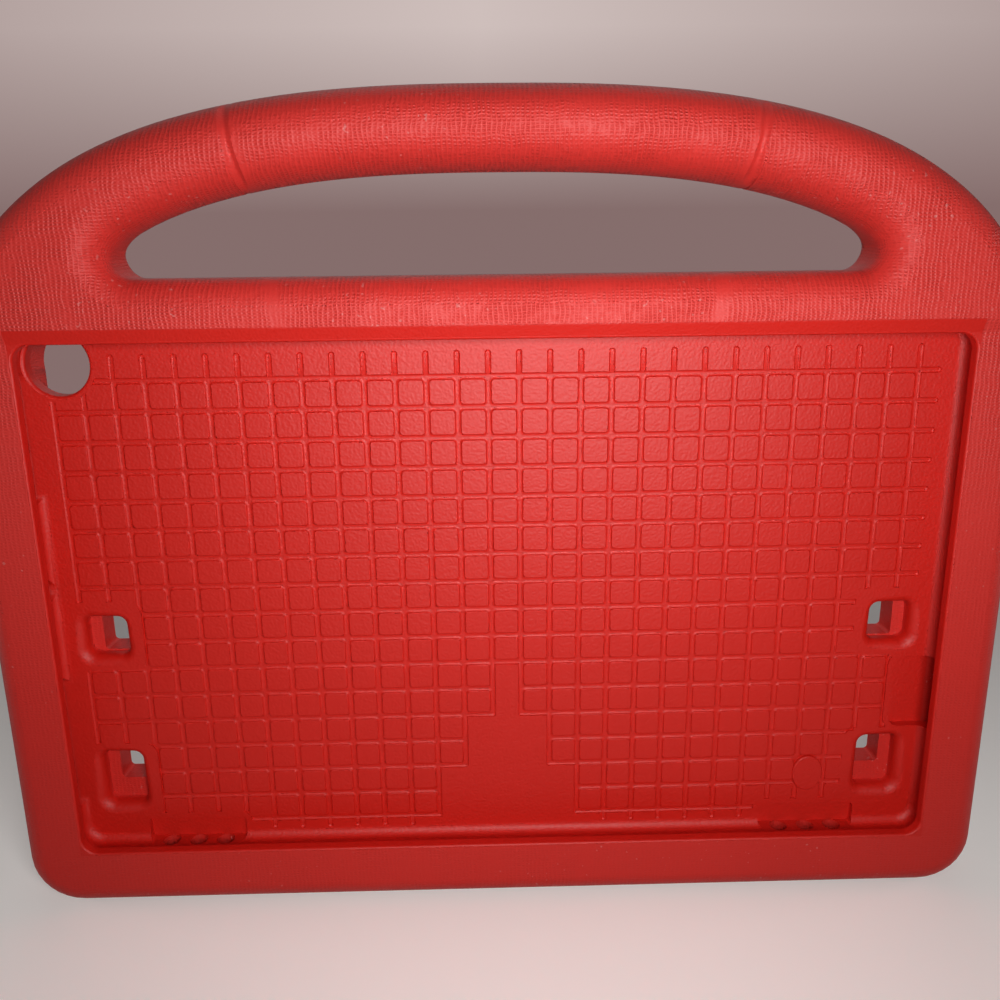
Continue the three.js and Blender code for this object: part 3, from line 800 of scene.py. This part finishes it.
def speaker_cutters():
    cutters = []
    for side in (-1, 1):
        cutters.append(prism(speaker_box(side, 0), PORT_FRONT, PANEL_FRONT + SPEAKER_DEPTH))
        for i in range(SOUND_HOLES):
            x = side * SPEAKER_MIDDLE + (i - (SOUND_HOLES - 1) / 2) * SOUND_HOLE_PITCH
            depth = PANEL_FRONT + SPEAKER_DEPTH - SOUND_HOLE_RADIUS
            hole = ellipse(x, depth, SOUND_HOLE_RADIUS, SOUND_HOLE_RADIUS)
            cutters.append(upright_prism(hole, -BEYOND, BAY_FOOT + SOUND_HOLE_OVER))
    return cutters


# Waffle


def column_at(column):
    return WAFFLE_SHIFT + column * PAD_PITCH


def row_at(row):
    return BAY_TOP - WAFFLE_FIRST_ROW - row * PAD_PITCH


FIRST_COLUMN = math.ceil((-BAY_HALF_WIDTH + WAFFLE_SIDE_MARGIN - WAFFLE_SHIFT) / PAD_PITCH)
LAST_COLUMN = math.floor((BAY_HALF_WIDTH - WAFFLE_SIDE_MARGIN - WAFFLE_SHIFT) / PAD_PITCH)
LAST_ROW = math.floor((BAY_TOP - BAY_FOOT - WAFFLE_FIRST_ROW - WAFFLE_FOOT_MARGIN) / PAD_PITCH)


def is_pad(column, row):
    """A cell lies right of its groove column and above its groove row; the plain triangle has none."""
    x = column_at(column) + PAD_PITCH / 2
    z = row_at(row) + PAD_PITCH / 2
    return abs(x - PLAIN_PLATE_X) > (BAY_FOOT + PLAIN_PLATE_APEX - z) * PLAIN_PLATE_SLOPE


def plain_ground():
    """Plain ground round the camera hole, the sockets, the relief and the speaker recesses."""
    radius = CAMERA_RADIUS + PLAIN_MARGIN
    return [ellipse(CAMERA_X, CAMERA_Z, radius, radius), relief_box(PLAIN_MARGIN),
            speaker_box(-1, PLAIN_MARGIN), speaker_box(1, PLAIN_MARGIN)] + socket_bosses()


def inside(point, outline):
    """Whether a point lies within a convex outline."""
    x, z = point
    return all((bx - ax) * (z - az) - (bz - az) * (x - ax) > 0
               for (ax, az), (bx, bz) in zip(outline, outline[1:] + outline[:1]))


def whole_pads():
    """Middles of the pads that lie clear of the plain ground and have a groove on every side."""
    half = (PAD_PITCH - GROOVE_WIDTH) / 2
    grounds = plain_ground()
    middles = []
    for column in range(FIRST_COLUMN, LAST_COLUMN):
        for row in range(1, LAST_ROW + 1):
            x = column_at(column) + PAD_PITCH / 2
            z = row_at(row) + PAD_PITCH / 2
            corners = [(x + dx, z + dz) for dx in (-half, half) for dz in (-half, half)]
            if is_pad(column, row) and not any(inside(c, ground) for c in corners for ground in grounds):
                middles.append((x, z))
    return middles


def runs(count, present):
    """First and end index of each run of neighbours that are present."""
    found = []
    start = None
    for i in range(count + 1):
        here = i < count and present(i)
        if here and start is None:
            start = i
        if not here and start is not None:
            found.append((start, i))
            start = None
    return found


def groove_strip(left, right, foot, head, depth):
    """A groove with a round bottom; the last step of its round would have no width."""
    mouth = rounded_box(left, right, foot, head, GROOVE_END_ROUND)
    rings = [ring(mouth, PANEL_FRONT - BEYOND)]
    for off, turned in quarter_round(GROOVE_STEPS)[:-1]:
        rings.append(ring(offset(mouth, -GROOVE_WIDTH / 2 * turned), PANEL_FRONT + depth * (1 - off)))
    return loft(rings)


def upright_grooves():
    half = GROOVE_WIDTH / 2
    grooves = []
    for column in range(FIRST_COLUMN, LAST_COLUMN + 1):
        x = column_at(column)
        for start, end in runs(LAST_ROW + 2, lambda row: is_pad(column - 1, row) or is_pad(column, row)):
            foot = max(row_at(end - 1) - half, BAY_FOOT + PANEL_FILLET)
            head = BAY_TOP - WAFFLE_HEAD_MARGIN if start == 0 else row_at(start - 1) + half
            grooves.append(groove_strip(x - half, x + half, foot, head, GROOVE_DEPTH))
    return grooves


def level_grooves():
    """These are a hair deeper than the upright ones, so that no two bottoms lie in one plane."""
    half = GROOVE_WIDTH / 2
    stub_end = column_at(LAST_COLUMN) + WAFFLE_STUB
    columns = range(FIRST_COLUMN, LAST_COLUMN + 1)
    grooves = []
    for row in range(LAST_ROW + 1):
        z = row_at(row)

        def beside_pad(i):
            return is_pad(columns[i], row) or is_pad(columns[i], row + 1)

        for start, end in runs(len(columns), beside_pad):
            left = column_at(FIRST_COLUMN + start) - half
            right = stub_end if end == len(columns) else column_at(FIRST_COLUMN + end) + half
            grooves.append(groove_strip(left, right, z - half, z + half, GROOVE_DEPTH + HAIR))
    return grooves


def pad_sites():
    """A square hollow, as deep as the grooves, for each whole pad to stand in."""
    half = (PAD_PITCH - PAD_GAP) / 2
    sites = []
    for x, z in whole_pads():
        square = [(x - half, z - half), (x + half, z - half), (x + half, z + half), (x - half, z + half)]
        sites.append(prism(square, PANEL_FRONT - BEYOND, PANEL_FRONT + GROOVE_DEPTH))
    return sites


def groove_cutters():
    """The grooves, cut off at the plain ground, and the hollows of the whole pads."""
    grounds = [prism(outline, PANEL_FRONT - 2 * BEYOND, PANEL_FRONT + 2 * BEYOND)
               for outline in plain_ground()]
    cutters = [as_skin(work(skin_object("grooves", together(grooves)), grounds))
               for grooves in (upright_grooves(), level_grooves())]
    return cutters + [together(pad_sites())]


def ejector_mark():
    oval = ellipse(MARK_X, MARK_Z, MARK_HALF_WIDTH, MARK_HALF_HEIGHT)
    rings = []
    for off, turned in quarter_round(SMALL_STEPS):
        rings.append(ring(offset(oval, -MARK_RISE * off), PANEL_FRONT - MARK_RISE * (1 - turned)))
    rings.append(ring(oval, PANEL_FRONT + 2 * GROOVE_DEPTH))
    return loft(rings)


def pad_tree():
    """Geometry nodes that stand one foam pad on each point of a mesh."""
    tree = bpy.data.node_groups.new("waffle_pads", "GeometryNodeTree")
    lengths = ("Foot width", "Top width", "Height", "Sunk", "Corner", "Edge")
    sockets = [("Geometry", "NodeSocketGeometry"), ("Foam", "NodeSocketMaterial")]
    sockets += [(name, "NodeSocketFloat") for name in lengths]
    for name, kind in sockets:
        tree.interface.new_socket(name, in_out="INPUT", socket_type=kind)
    tree.interface.new_socket("Geometry", in_out="OUTPUT", socket_type="NodeSocketGeometry")
    shop = Shop(tree)
    given = shop.node("NodeGroupInput")
    foot_width, top_width, height, sunk, corner, edge = (given.beside(name) for name in lengths)
    square = shop.node("GeometryNodeCurvePrimitiveQuadrilateral", {"mode": "RECTANGLE"},
                       {"Width": foot_width, "Height": foot_width})
    outline = shop.node("GeometryNodeFilletCurve", {"mode": "POLY"},
                        {"Curve": square, "Count": PAD_CORNER_STEPS, "Radius": corner})
    base = shop.node("GeometryNodeFillCurve", {"mode": "NGONS"}, {"Curve": outline})

    def raised(pad, top, rise):
        """The pad with its top face drawn up; gives the pad and its new top face."""
        pad = shop.node("GeometryNodeExtrudeMesh", {"mode": "FACES"}, {
            "Mesh": pad, "Selection": top, "Offset Scale": rise, "Individual": False})
        return pad, pad.beside("Top")

    def narrowed(pad, top, before, now):
        """The pad with its top face scaled from one width to another."""
        return shop.node("GeometryNodeScaleElements", None,
                         {"Geometry": pad, "Selection": top, "Scale": now / before})

    pad, top = raised(base, True, sunk)
    width = foot_width
    slope = foot_width - top_width
    for i in range(1, PAD_STEPS + 1):
        before, now = QUARTER * (i - 1) / PAD_STEPS, QUARTER * i / PAD_STEPS
        pad, top = raised(pad, top, (height - edge) * (math.cos(before) - math.cos(now)))
        next_width = foot_width - slope * math.sin(now)
        pad = narrowed(pad, top, width, next_width)
        width = next_width
    pad, top = raised(pad, top, edge)
    pad = narrowed(pad, top, width, width - edge * 2)
    closed = shop.node("GeometryNodeJoinGeometry", None,
                       {"Geometry": [pad, shop.node("GeometryNodeFlipFaces", None, {"Mesh": base})]})
    closed = shop.node("GeometryNodeMergeByDistance", None, {"Geometry": closed, "Distance": HAIR * MM})
    stood = shop.node("GeometryNodeInstanceOnPoints", None,
                      {"Points": given, "Instance": closed, "Rotation": (QUARTER, 0, 0)})
    real = shop.node("GeometryNodeRealizeInstances", None, {"Geometry": stood})
    coated = shop.node("GeometryNodeSetMaterial", None, {"Geometry": real, "Material": given.beside("Foam")})
    shop.node("NodeGroupOutput", None, {"Geometry": coated})
    return tree


# Materials


def object_place(shop):
    return shop.node("ShaderNodeTexCoord", output="Object")


def axes_of(shop, vector):
    """The first part of a vector; the others stand beside it."""
    return shop.node("ShaderNodeSeparateXYZ", None, {"Vector": vector})


def linen(shop, place, settings):
    """Height, from 0 to 1, of an embossed linen: threads across each axis, with a pit between crossings."""
    wander = shop.node("ShaderNodeTexNoise", None,
                       {"Vector": place, "Scale": WANDER_SCALE, "Detail": 0.0}, "Color")
    wandered = shop.node("ShaderNodeVectorMath", {"operation": "MULTIPLY_ADD"},
                         {0: wander, 1: (settings.linen_wander,) * 3, 2: place})
    along = axes_of(shop, wandered)
    facing = axes_of(shop, shop.node("ShaderNodeNewGeometry", output="Normal"))
    height = None
    for axis, pitch in (("X", settings.linen_pitch), ("Y", settings.linen_rise), ("Z", settings.linen_rise)):
        wave = (along.beside(axis) * (4 * QUARTER / pitch)).sine()
        shows = 1 - facing.beside(axis) * facing.beside(axis)
        thread = (wave + 1) * shows
        height = thread if height is None else height.most(thread)
    return height * 0.5


def inside_bay(x, y, z):
    """1 on the smooth skin of the bay, its lip and the band above it, and 0 elsewhere."""
    in_wall = (x.absolute().below((BAY_HALF_WIDTH + SKIN_MARGIN) * MM)
               * z.above((BAY_FOOT - SKIN_MARGIN) * MM) * z.below((BAY_TOP + SKIN_MARGIN) * MM)
               * y.above((FRAME_FRONT + LIP_EDGE_ROUND) * MM))
    in_window = (x.absolute().below((BAY_HALF_WIDTH - LIP_LAP + LIP_EDGE_ROUND) * MM)
                 * z.above((BAY_FOOT + LIP_LAP - LIP_EDGE_ROUND) * MM) * z.below(BAND_HEAD * MM))
    return in_wall.most(in_window) * y.below(BAY_SKIN_BACK * MM)


def beside_grip_mark(x, z):
    """0 in the two marks round the grip, and 1 away from them."""
    middle = HAND_TOP + GRIP_HEIGHT / 2
    mark_at = GRIP_LENGTH / 2 * MM + (z - middle * MM) * math.sin(GRIP_MARK_LEAN)
    return (x.absolute() - mark_at).absolute().ramp(*(edge * MM for edge in WEAVE_BESIDE_MARK))


def foam_material(settings):
    """Satin foam: embossed linen on the outside and fine closed cells inside the bay."""
    material = bpy.data.materials.new("red_foam")
    material.use_nodes = True
    shop = Shop(material.node_tree)
    place = object_place(shop)
    x = axes_of(shop, place)
    y, z = x.beside("Y"), x.beside("Z")
    in_bay = inside_bay(x, y, z)
    outside = 1 - in_bay

    def rise(span):
        return z.ramp(*(height * MM for height in span))

    def noise(scale, detail=0.0):
        return shop.node("ShaderNodeTexNoise", None, {"Vector": place, "Scale": scale, "Detail": detail})

    def patches(scale, fade):
        return noise(scale).ramp(*fade)

    threads = linen(shop, place, settings)
    woven = outside * rise(WEAVE_RISE).lifted(WEAVE_LEAST) * beside_grip_mark(x, z).lifted(WEAVE_AT_MARK)
    wear = (patches(*WEAR) + patches(*FINE_WEAR)) * 0.5
    worn = woven * wear.lifted(WEAR_LEAST)
    grain = threads * worn + noise(CELL_SCALE) * (CELL_RISE + in_bay * CELL_RISE_IN_BAY)
    bump = shop.node("ShaderNodeBump", None, {
        "Height": grain, "Strength": settings.grain_strength, "Distance": settings.linen_depth})
    cloud = noise(CLOUD_SCALE, 1.0)
    lint = patches(*LINT) * patches(*LINT_FIELD) * outside
    dark = Vector(settings.foam_colour) * SHADE_DARKNESS
    # Painted sheen: the linen outside is paler than the foam, more so upwards; its paleness is partly the
    # haze of the embossed skin
    skin = shop.mix(outside * rise(PAINTED_SHEEN_RISE).lifted(PAINTED_SHEEN_LEAST), settings.foam_colour, settings.linen_haze_and_sheen_colour)
    clouded = shop.mix(cloud * CLOUD_SHADE, skin, dark)
    # Painted shade: the pits between the threads are darkened
    pit_shaded = shop.mix((1 - threads) * worn * PIT_PAINTED_SHADE, clouded, dark)
    flecked = shop.mix(lint * LINT_SHADE, pit_shaded, Vector(settings.fleck_colour))
    rough = settings.foam_roughness + cloud * CLOUD_ROUGHNESS + outside * OUTSIDE_ROUGHNESS
    surface = shop.node("ShaderNodeBsdfPrincipled", None, {
        "Base Color": flecked, "Roughness": rough, "Normal": bump})
    shop.node("ShaderNodeOutputMaterial", None, {"Surface": surface})
    return material


def seen_rays(shop):
    """1 where the stage is seen straight, in a gloss or through something clear, and 0 to other light."""
    rays = shop.node("ShaderNodeLightPath", output="Is Camera Ray")
    return rays.most(rays.beside("Is Glossy Ray")).most(rays.beside("Is Transmission Ray"))


def floor_material(settings):
    """Pale paper, which throws back less light than it shows, with a painted shadow: its glow fades behind
    the case.
    """
    material = bpy.data.materials.new("pale_floor")
    material.use_nodes = True
    shop = Shop(material.node_tree)
    seen = seen_rays(shop)
    colour = shop.mix(seen, Vector(settings.floor_colour) * FLOOR_BOUNCE, settings.floor_colour)
    paper = shop.node("ShaderNodeBsdfDiffuse", None, {"Color": colour})
    # Painted shadow: the glow weakens on the floor behind the case
    near = 1 - axes_of(shop, object_place(shop)).beside("Y").ramp(*FLOOR_SHADOW_PAINT) * FLOOR_SHADOW_PAINT_SHARE
    glow = shop.node("ShaderNodeEmission", None, {
        "Color": (*settings.floor_colour, 1.0), "Strength": seen * near * FLOOR_GLOW})
    surface = shop.node("ShaderNodeAddShader", None, {0: paper, 1: glow})
    shop.node("ShaderNodeOutputMaterial", None, {"Surface": surface})
    return material


def backdrop_material(settings):
    """Paper with painted light and shade as seen: it pales upwards and towards its middle, with painted shade
    low down and to the sides, and is plain to the rest of the light.
    """
    material = bpy.data.materials.new("pale_backdrop")
    material.use_nodes = True
    shop = Shop(material.node_tree)
    x = axes_of(shop, object_place(shop))
    # Painted light and shade: the seen backdrop is paler high up and in the middle, darker low down and to
    # the sides
    rise = x.beside("Z").ramp(*BACKDROP_SHADE_RISE)
    inward = (1 - x.absolute() * BACKDROP_SHADE_FALL).ramp(*BACKDROP_SHADE_MIDDLE)
    colour = shop.mix(rise * inward, settings.wall_shade_colour, settings.wall_colour)
    plain = shop.node("ShaderNodeBsdfDiffuse", None, {"Color": (*settings.wall_colour, 1.0)})
    shown = shop.node("ShaderNodeEmission", None, {"Color": colour, "Strength": 1.0})
    surface = shop.node("ShaderNodeMixShader", None, {0: seen_rays(shop), 1: plain, 2: shown})
    shop.node("ShaderNodeOutputMaterial", None, {"Surface": surface})
    return material


# Settings


class FoamSettings(bpy.types.PropertyGroup):
    """Colours and grain of the foam"""

    foam_colour: bpy.props.FloatVectorProperty(
        name="Foam colour", description="Colour of the smooth foam inside the bay", subtype="COLOR",
        default=(0.66, 0.0095, 0.003), min=0.0, max=1.0)
    # Paler than the foam inside: partly the haze of the embossed skin, partly painted sheen
    linen_haze_and_sheen_colour: bpy.props.FloatVectorProperty(
        name="Linen colour", description="Colour of the embossed foam outside the bay", subtype="COLOR",
        default=(0.74, 0.036, 0.028), min=0.0, max=1.0)
    fleck_colour: bpy.props.FloatVectorProperty(
        name="Fleck colour", description="Colour of the small scuffs and the lint outside", subtype="COLOR",
        default=(0.72, 0.30, 0.28), min=0.0, max=1.0)
    foam_roughness: bpy.props.FloatProperty(
        name="Foam roughness", description="Roughness of the skin of the foam", subtype="FACTOR",
        default=0.50, min=0.0, max=1.0)
    linen_pitch: bpy.props.FloatProperty(
        name="Linen pitch", description="From one thread to the next along the case's width", unit="LENGTH",
        default=1.22 * MM, precision=5)
    linen_rise: bpy.props.FloatProperty(
        name="Linen rise", description="From one thread to the next upwards and round the grip",
        unit="LENGTH", default=0.85 * MM, precision=5)
    linen_depth: bpy.props.FloatProperty(
        name="Linen depth", description="Depth of the pits between the threads", unit="LENGTH",
        default=0.22 * MM, precision=5)
    linen_wander: bpy.props.FloatProperty(
        name="Linen wander", description="How far the threads stray from straight", unit="LENGTH",
        default=1.0 * MM, precision=5)
    grain_strength: bpy.props.FloatProperty(
        name="Grain strength", description="How strongly the linen grain stands out", subtype="FACTOR",
        default=1.0, min=0.0, max=1.0)


class WaffleSettings(bpy.types.PropertyGroup):
    """Sizes of a pad"""

    pad_foot: bpy.props.FloatProperty(
        name="Pad foot", description="Width of a pad where it grows out of the panel", unit="LENGTH",
        default=(PAD_PITCH - PAD_GAP) * MM, precision=4)
    pad_top: bpy.props.FloatProperty(
        name="Pad top", description="Width of a pad at its top edge", unit="LENGTH",
        default=(PAD_PITCH - GROOVE_WIDTH) * MM, precision=4)
    pad_corner: bpy.props.FloatProperty(
        name="Pad corner", description="Radius of a pad's corners", unit="LENGTH",
        default=PAD_CORNER * MM, precision=4)
    pad_edge: bpy.props.FloatProperty(
        name="Pad edge", description="Softening of a pad's top edge", unit="LENGTH",
        default=PAD_EDGE * MM, precision=5)


class StageSettings(bpy.types.PropertyGroup):
    """Colours and light of the stage"""

    floor_colour: bpy.props.FloatVectorProperty(
        name="Floor colour", description="Colour of the floor", subtype="COLOR", default=(0.90, 0.86, 0.83),
        min=0.0, max=1.0)
    wall_colour: bpy.props.FloatVectorProperty(
        name="Backdrop colour", description="Colour of the backdrop high up", subtype="COLOR",
        default=(0.62, 0.52, 0.50), min=0.0, max=1.0)
    # Painted shade of the backdrop low down and at the sides
    wall_shade_colour: bpy.props.FloatVectorProperty(
        name="Low backdrop colour", description="Colour of the backdrop low down", subtype="COLOR",
        default=(0.235, 0.155, 0.150), min=0.0, max=1.0)
    fill: bpy.props.FloatProperty(
        name="Fill", description="Strength of the even light from all sides", default=0.05, min=0.0)
    lamp_power: bpy.props.FloatProperty(
        name="Lamp power", description="Power of the front lamp; the others follow it", default=0.47, min=0.0,
        unit="POWER")


# Operators


def foam():
    return bpy.data.materials.get("red_foam") or foam_material(bpy.context.scene.foam_settings)


class CASE_OT_body(bpy.types.Operator):
    """Builds the moulded foam body with its handle, bay, ports and grooves"""

    bl_idname = "tablet_case.body"
    bl_label = "Foam body"

    def execute(self, context):
        body = work(outer_body(), [hand_cutter(), bay_cutter(), window_cutter(), back_well()])
        work(body, [camera_hole()] + socket_cutters() + side_cutters() + speaker_cutters() + grip_marks())
        work(body, groove_cutters())
        work(body, [ejector_mark()], "UNION")
        finish_piece(body, foam(), SHARP_DEGREES)
        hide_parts(CASE_NODE)
        return {"FINISHED"}


class CASE_OT_waffle(bpy.types.Operator):
    """Stands the foam pads on the panel"""

    bl_idname = "tablet_case.waffle"
    bl_label = "Waffle pads"

    def execute(self, context):
        settings = context.scene.waffle_settings
        mesh = bpy.data.meshes.new("waffle_pads")
        depth = PANEL_FRONT + GROOVE_DEPTH + PAD_SUNK
        mesh.from_pydata([Vector((x, depth, z)) * MM for x, z in whole_pads()], [], [])
        pads = new_object("waffle_pads", mesh)
        tree = pad_tree()
        modifier = pads.modifiers.new("pads", "NODES")
        modifier.node_group = tree
        values = {
            "Foam": foam(), "Foot width": settings.pad_foot, "Top width": settings.pad_top,
            "Height": GROOVE_DEPTH * MM, "Sunk": PAD_SUNK * MM, "Corner": settings.pad_corner,
            "Edge": settings.pad_edge}
        for item in tree.interface.items_tree:
            if item.in_out == "INPUT" and item.name in values:
                modifier[item.identifier] = values[item.name]
        settle(pads)
        face_outwards(pads.data)
        finish_piece(pads, foam(), PAD_SHARP_DEGREES)
        return {"FINISHED"}


def photo_camera():
    """Places the camera where the photograph was taken from."""
    turn_x, turn_y, turn_z = CAMERA_TURN
    turn = Matrix.Rotation(turn_z, 3, "Z") @ Matrix.Rotation(turn_y, 3, "Y") @ Matrix.Rotation(turn_x, 3, "X")
    back_turn = turn.transposed()

    def to_case(vector):
        """From right, down and away, as the camera was fitted, to the case's own axes."""
        right, down, away = vector
        return Vector((right, away, -down))

    place = to_case(back_turn @ Vector(CAMERA_SHIFT) * -1) * MM + FITTED_ORIGIN
    axes = [to_case(back_turn @ Vector(axis)) for axis in ((1, 0, 0), (0, -1, 0), (0, 0, -1))]
    data = bpy.data.cameras.new("camera")
    data.sensor_width = SENSOR_WIDTH
    data.lens = SENSOR_WIDTH * FOCAL_PIXELS / PHOTO_SIZE
    camera = bpy.data.objects.new("camera", data)
    camera.matrix_world = Matrix.Translation(place) @ Matrix(axes).transposed().to_4x4()
    bpy.context.scene.collection.objects.link(camera)
    bpy.context.scene.camera = camera


def stage_sheet(name, corners, material):
    mesh = bpy.data.meshes.new(name)
    mesh.from_pydata(corners, [], [(0, 1, 2, 3)])
    mesh.materials.append(material)
    new_object(name, mesh)


def soft_lamp(name, place, size, spread, power):
    """A square lamp aimed at the upper part of the case, which the camera doesn't see."""
    lamp = bpy.data.lights.new(name, "AREA")
    lamp.energy = power
    lamp.size = size
    lamp.spread = math.radians(spread)
    holder = new_object(name, lamp)
    holder.location = place
    holder.rotation_euler = (LAMPS_AIM - place).to_track_quat("-Z", "Y").to_euler()
    holder.visible_camera = False


class CASE_OT_stage(bpy.types.Operator):
    """Sets the floor, the backdrop, the lamps and the camera"""

    bl_idname = "tablet_case.stage"
    bl_label = "Stage"

    def execute(self, context):
        settings = context.scene.stage_settings
        left, right, near, far, head = -STAGE_SPAN, STAGE_SPAN, -STAGE_SPAN, BACKDROP_AT, STAGE_SPAN
        floor = [(left, near, 0), (right, near, 0), (right, far, 0), (left, far, 0)]
        backdrop = [(left, far, 0), (right, far, 0), (right, far, head), (left, far, head)]
        stage_sheet("floor", floor, floor_material(settings))
        stage_sheet("backdrop", backdrop, backdrop_material(settings))
        world = bpy.data.worlds.new("studio")
        context.scene.world = world
        world.use_nodes = True
        shop = Shop(world.node_tree)
        light = shop.node("ShaderNodeBackground", None, {"Color": (1, 1, 1, 1), "Strength": settings.fill})
        shop.node("ShaderNodeOutputWorld", None, {"Surface": light})
        for name, place, size, spread, power in LAMPS:
            soft_lamp(name, Vector(place), size, spread, power * settings.lamp_power)
        photo_camera()
        context.scene.view_settings.view_transform = "Standard"
        return {"FINISHED"}


OPERATORS = (CASE_OT_body, CASE_OT_waffle, CASE_OT_stage)


class CASE_PT_panel(bpy.types.Panel):
    """Settings and steps of the tablet case"""

    bl_idname = "CASE_PT_panel"
    bl_label = "Tablet Case"
    bl_space_type = "VIEW_3D"
    bl_region_type = "UI"
    bl_category = "Tablet Case"

    def draw(self, context):
        scene = context.scene
        for settings in (scene.foam_settings, scene.waffle_settings, scene.stage_settings):
            for name in settings.__annotations__:
                self.layout.prop(settings, name)
        for operator in OPERATORS:
            self.layout.operator(operator.bl_idname)


SETTINGS = {"foam_settings": FoamSettings, "waffle_settings": WaffleSettings, "stage_settings": StageSettings}
CLASSES = (*SETTINGS.values(), *OPERATORS, CASE_PT_panel)


def register():
    for cls in CLASSES:
        bpy.utils.register_class(cls)
    for name, cls in SETTINGS.items():
        setattr(bpy.types.Scene, name, bpy.props.PointerProperty(type=cls))


def unregister():
    for name in SETTINGS:
        delattr(bpy.types.Scene, name)
    for cls in reversed(CLASSES):
        bpy.utils.unregister_class(cls)


def main():
    register()
    bpy.ops.tablet_case.body()
    bpy.ops.tablet_case.waffle()
    bpy.ops.tablet_case.stage()


if __name__ == "__main__":
    main()
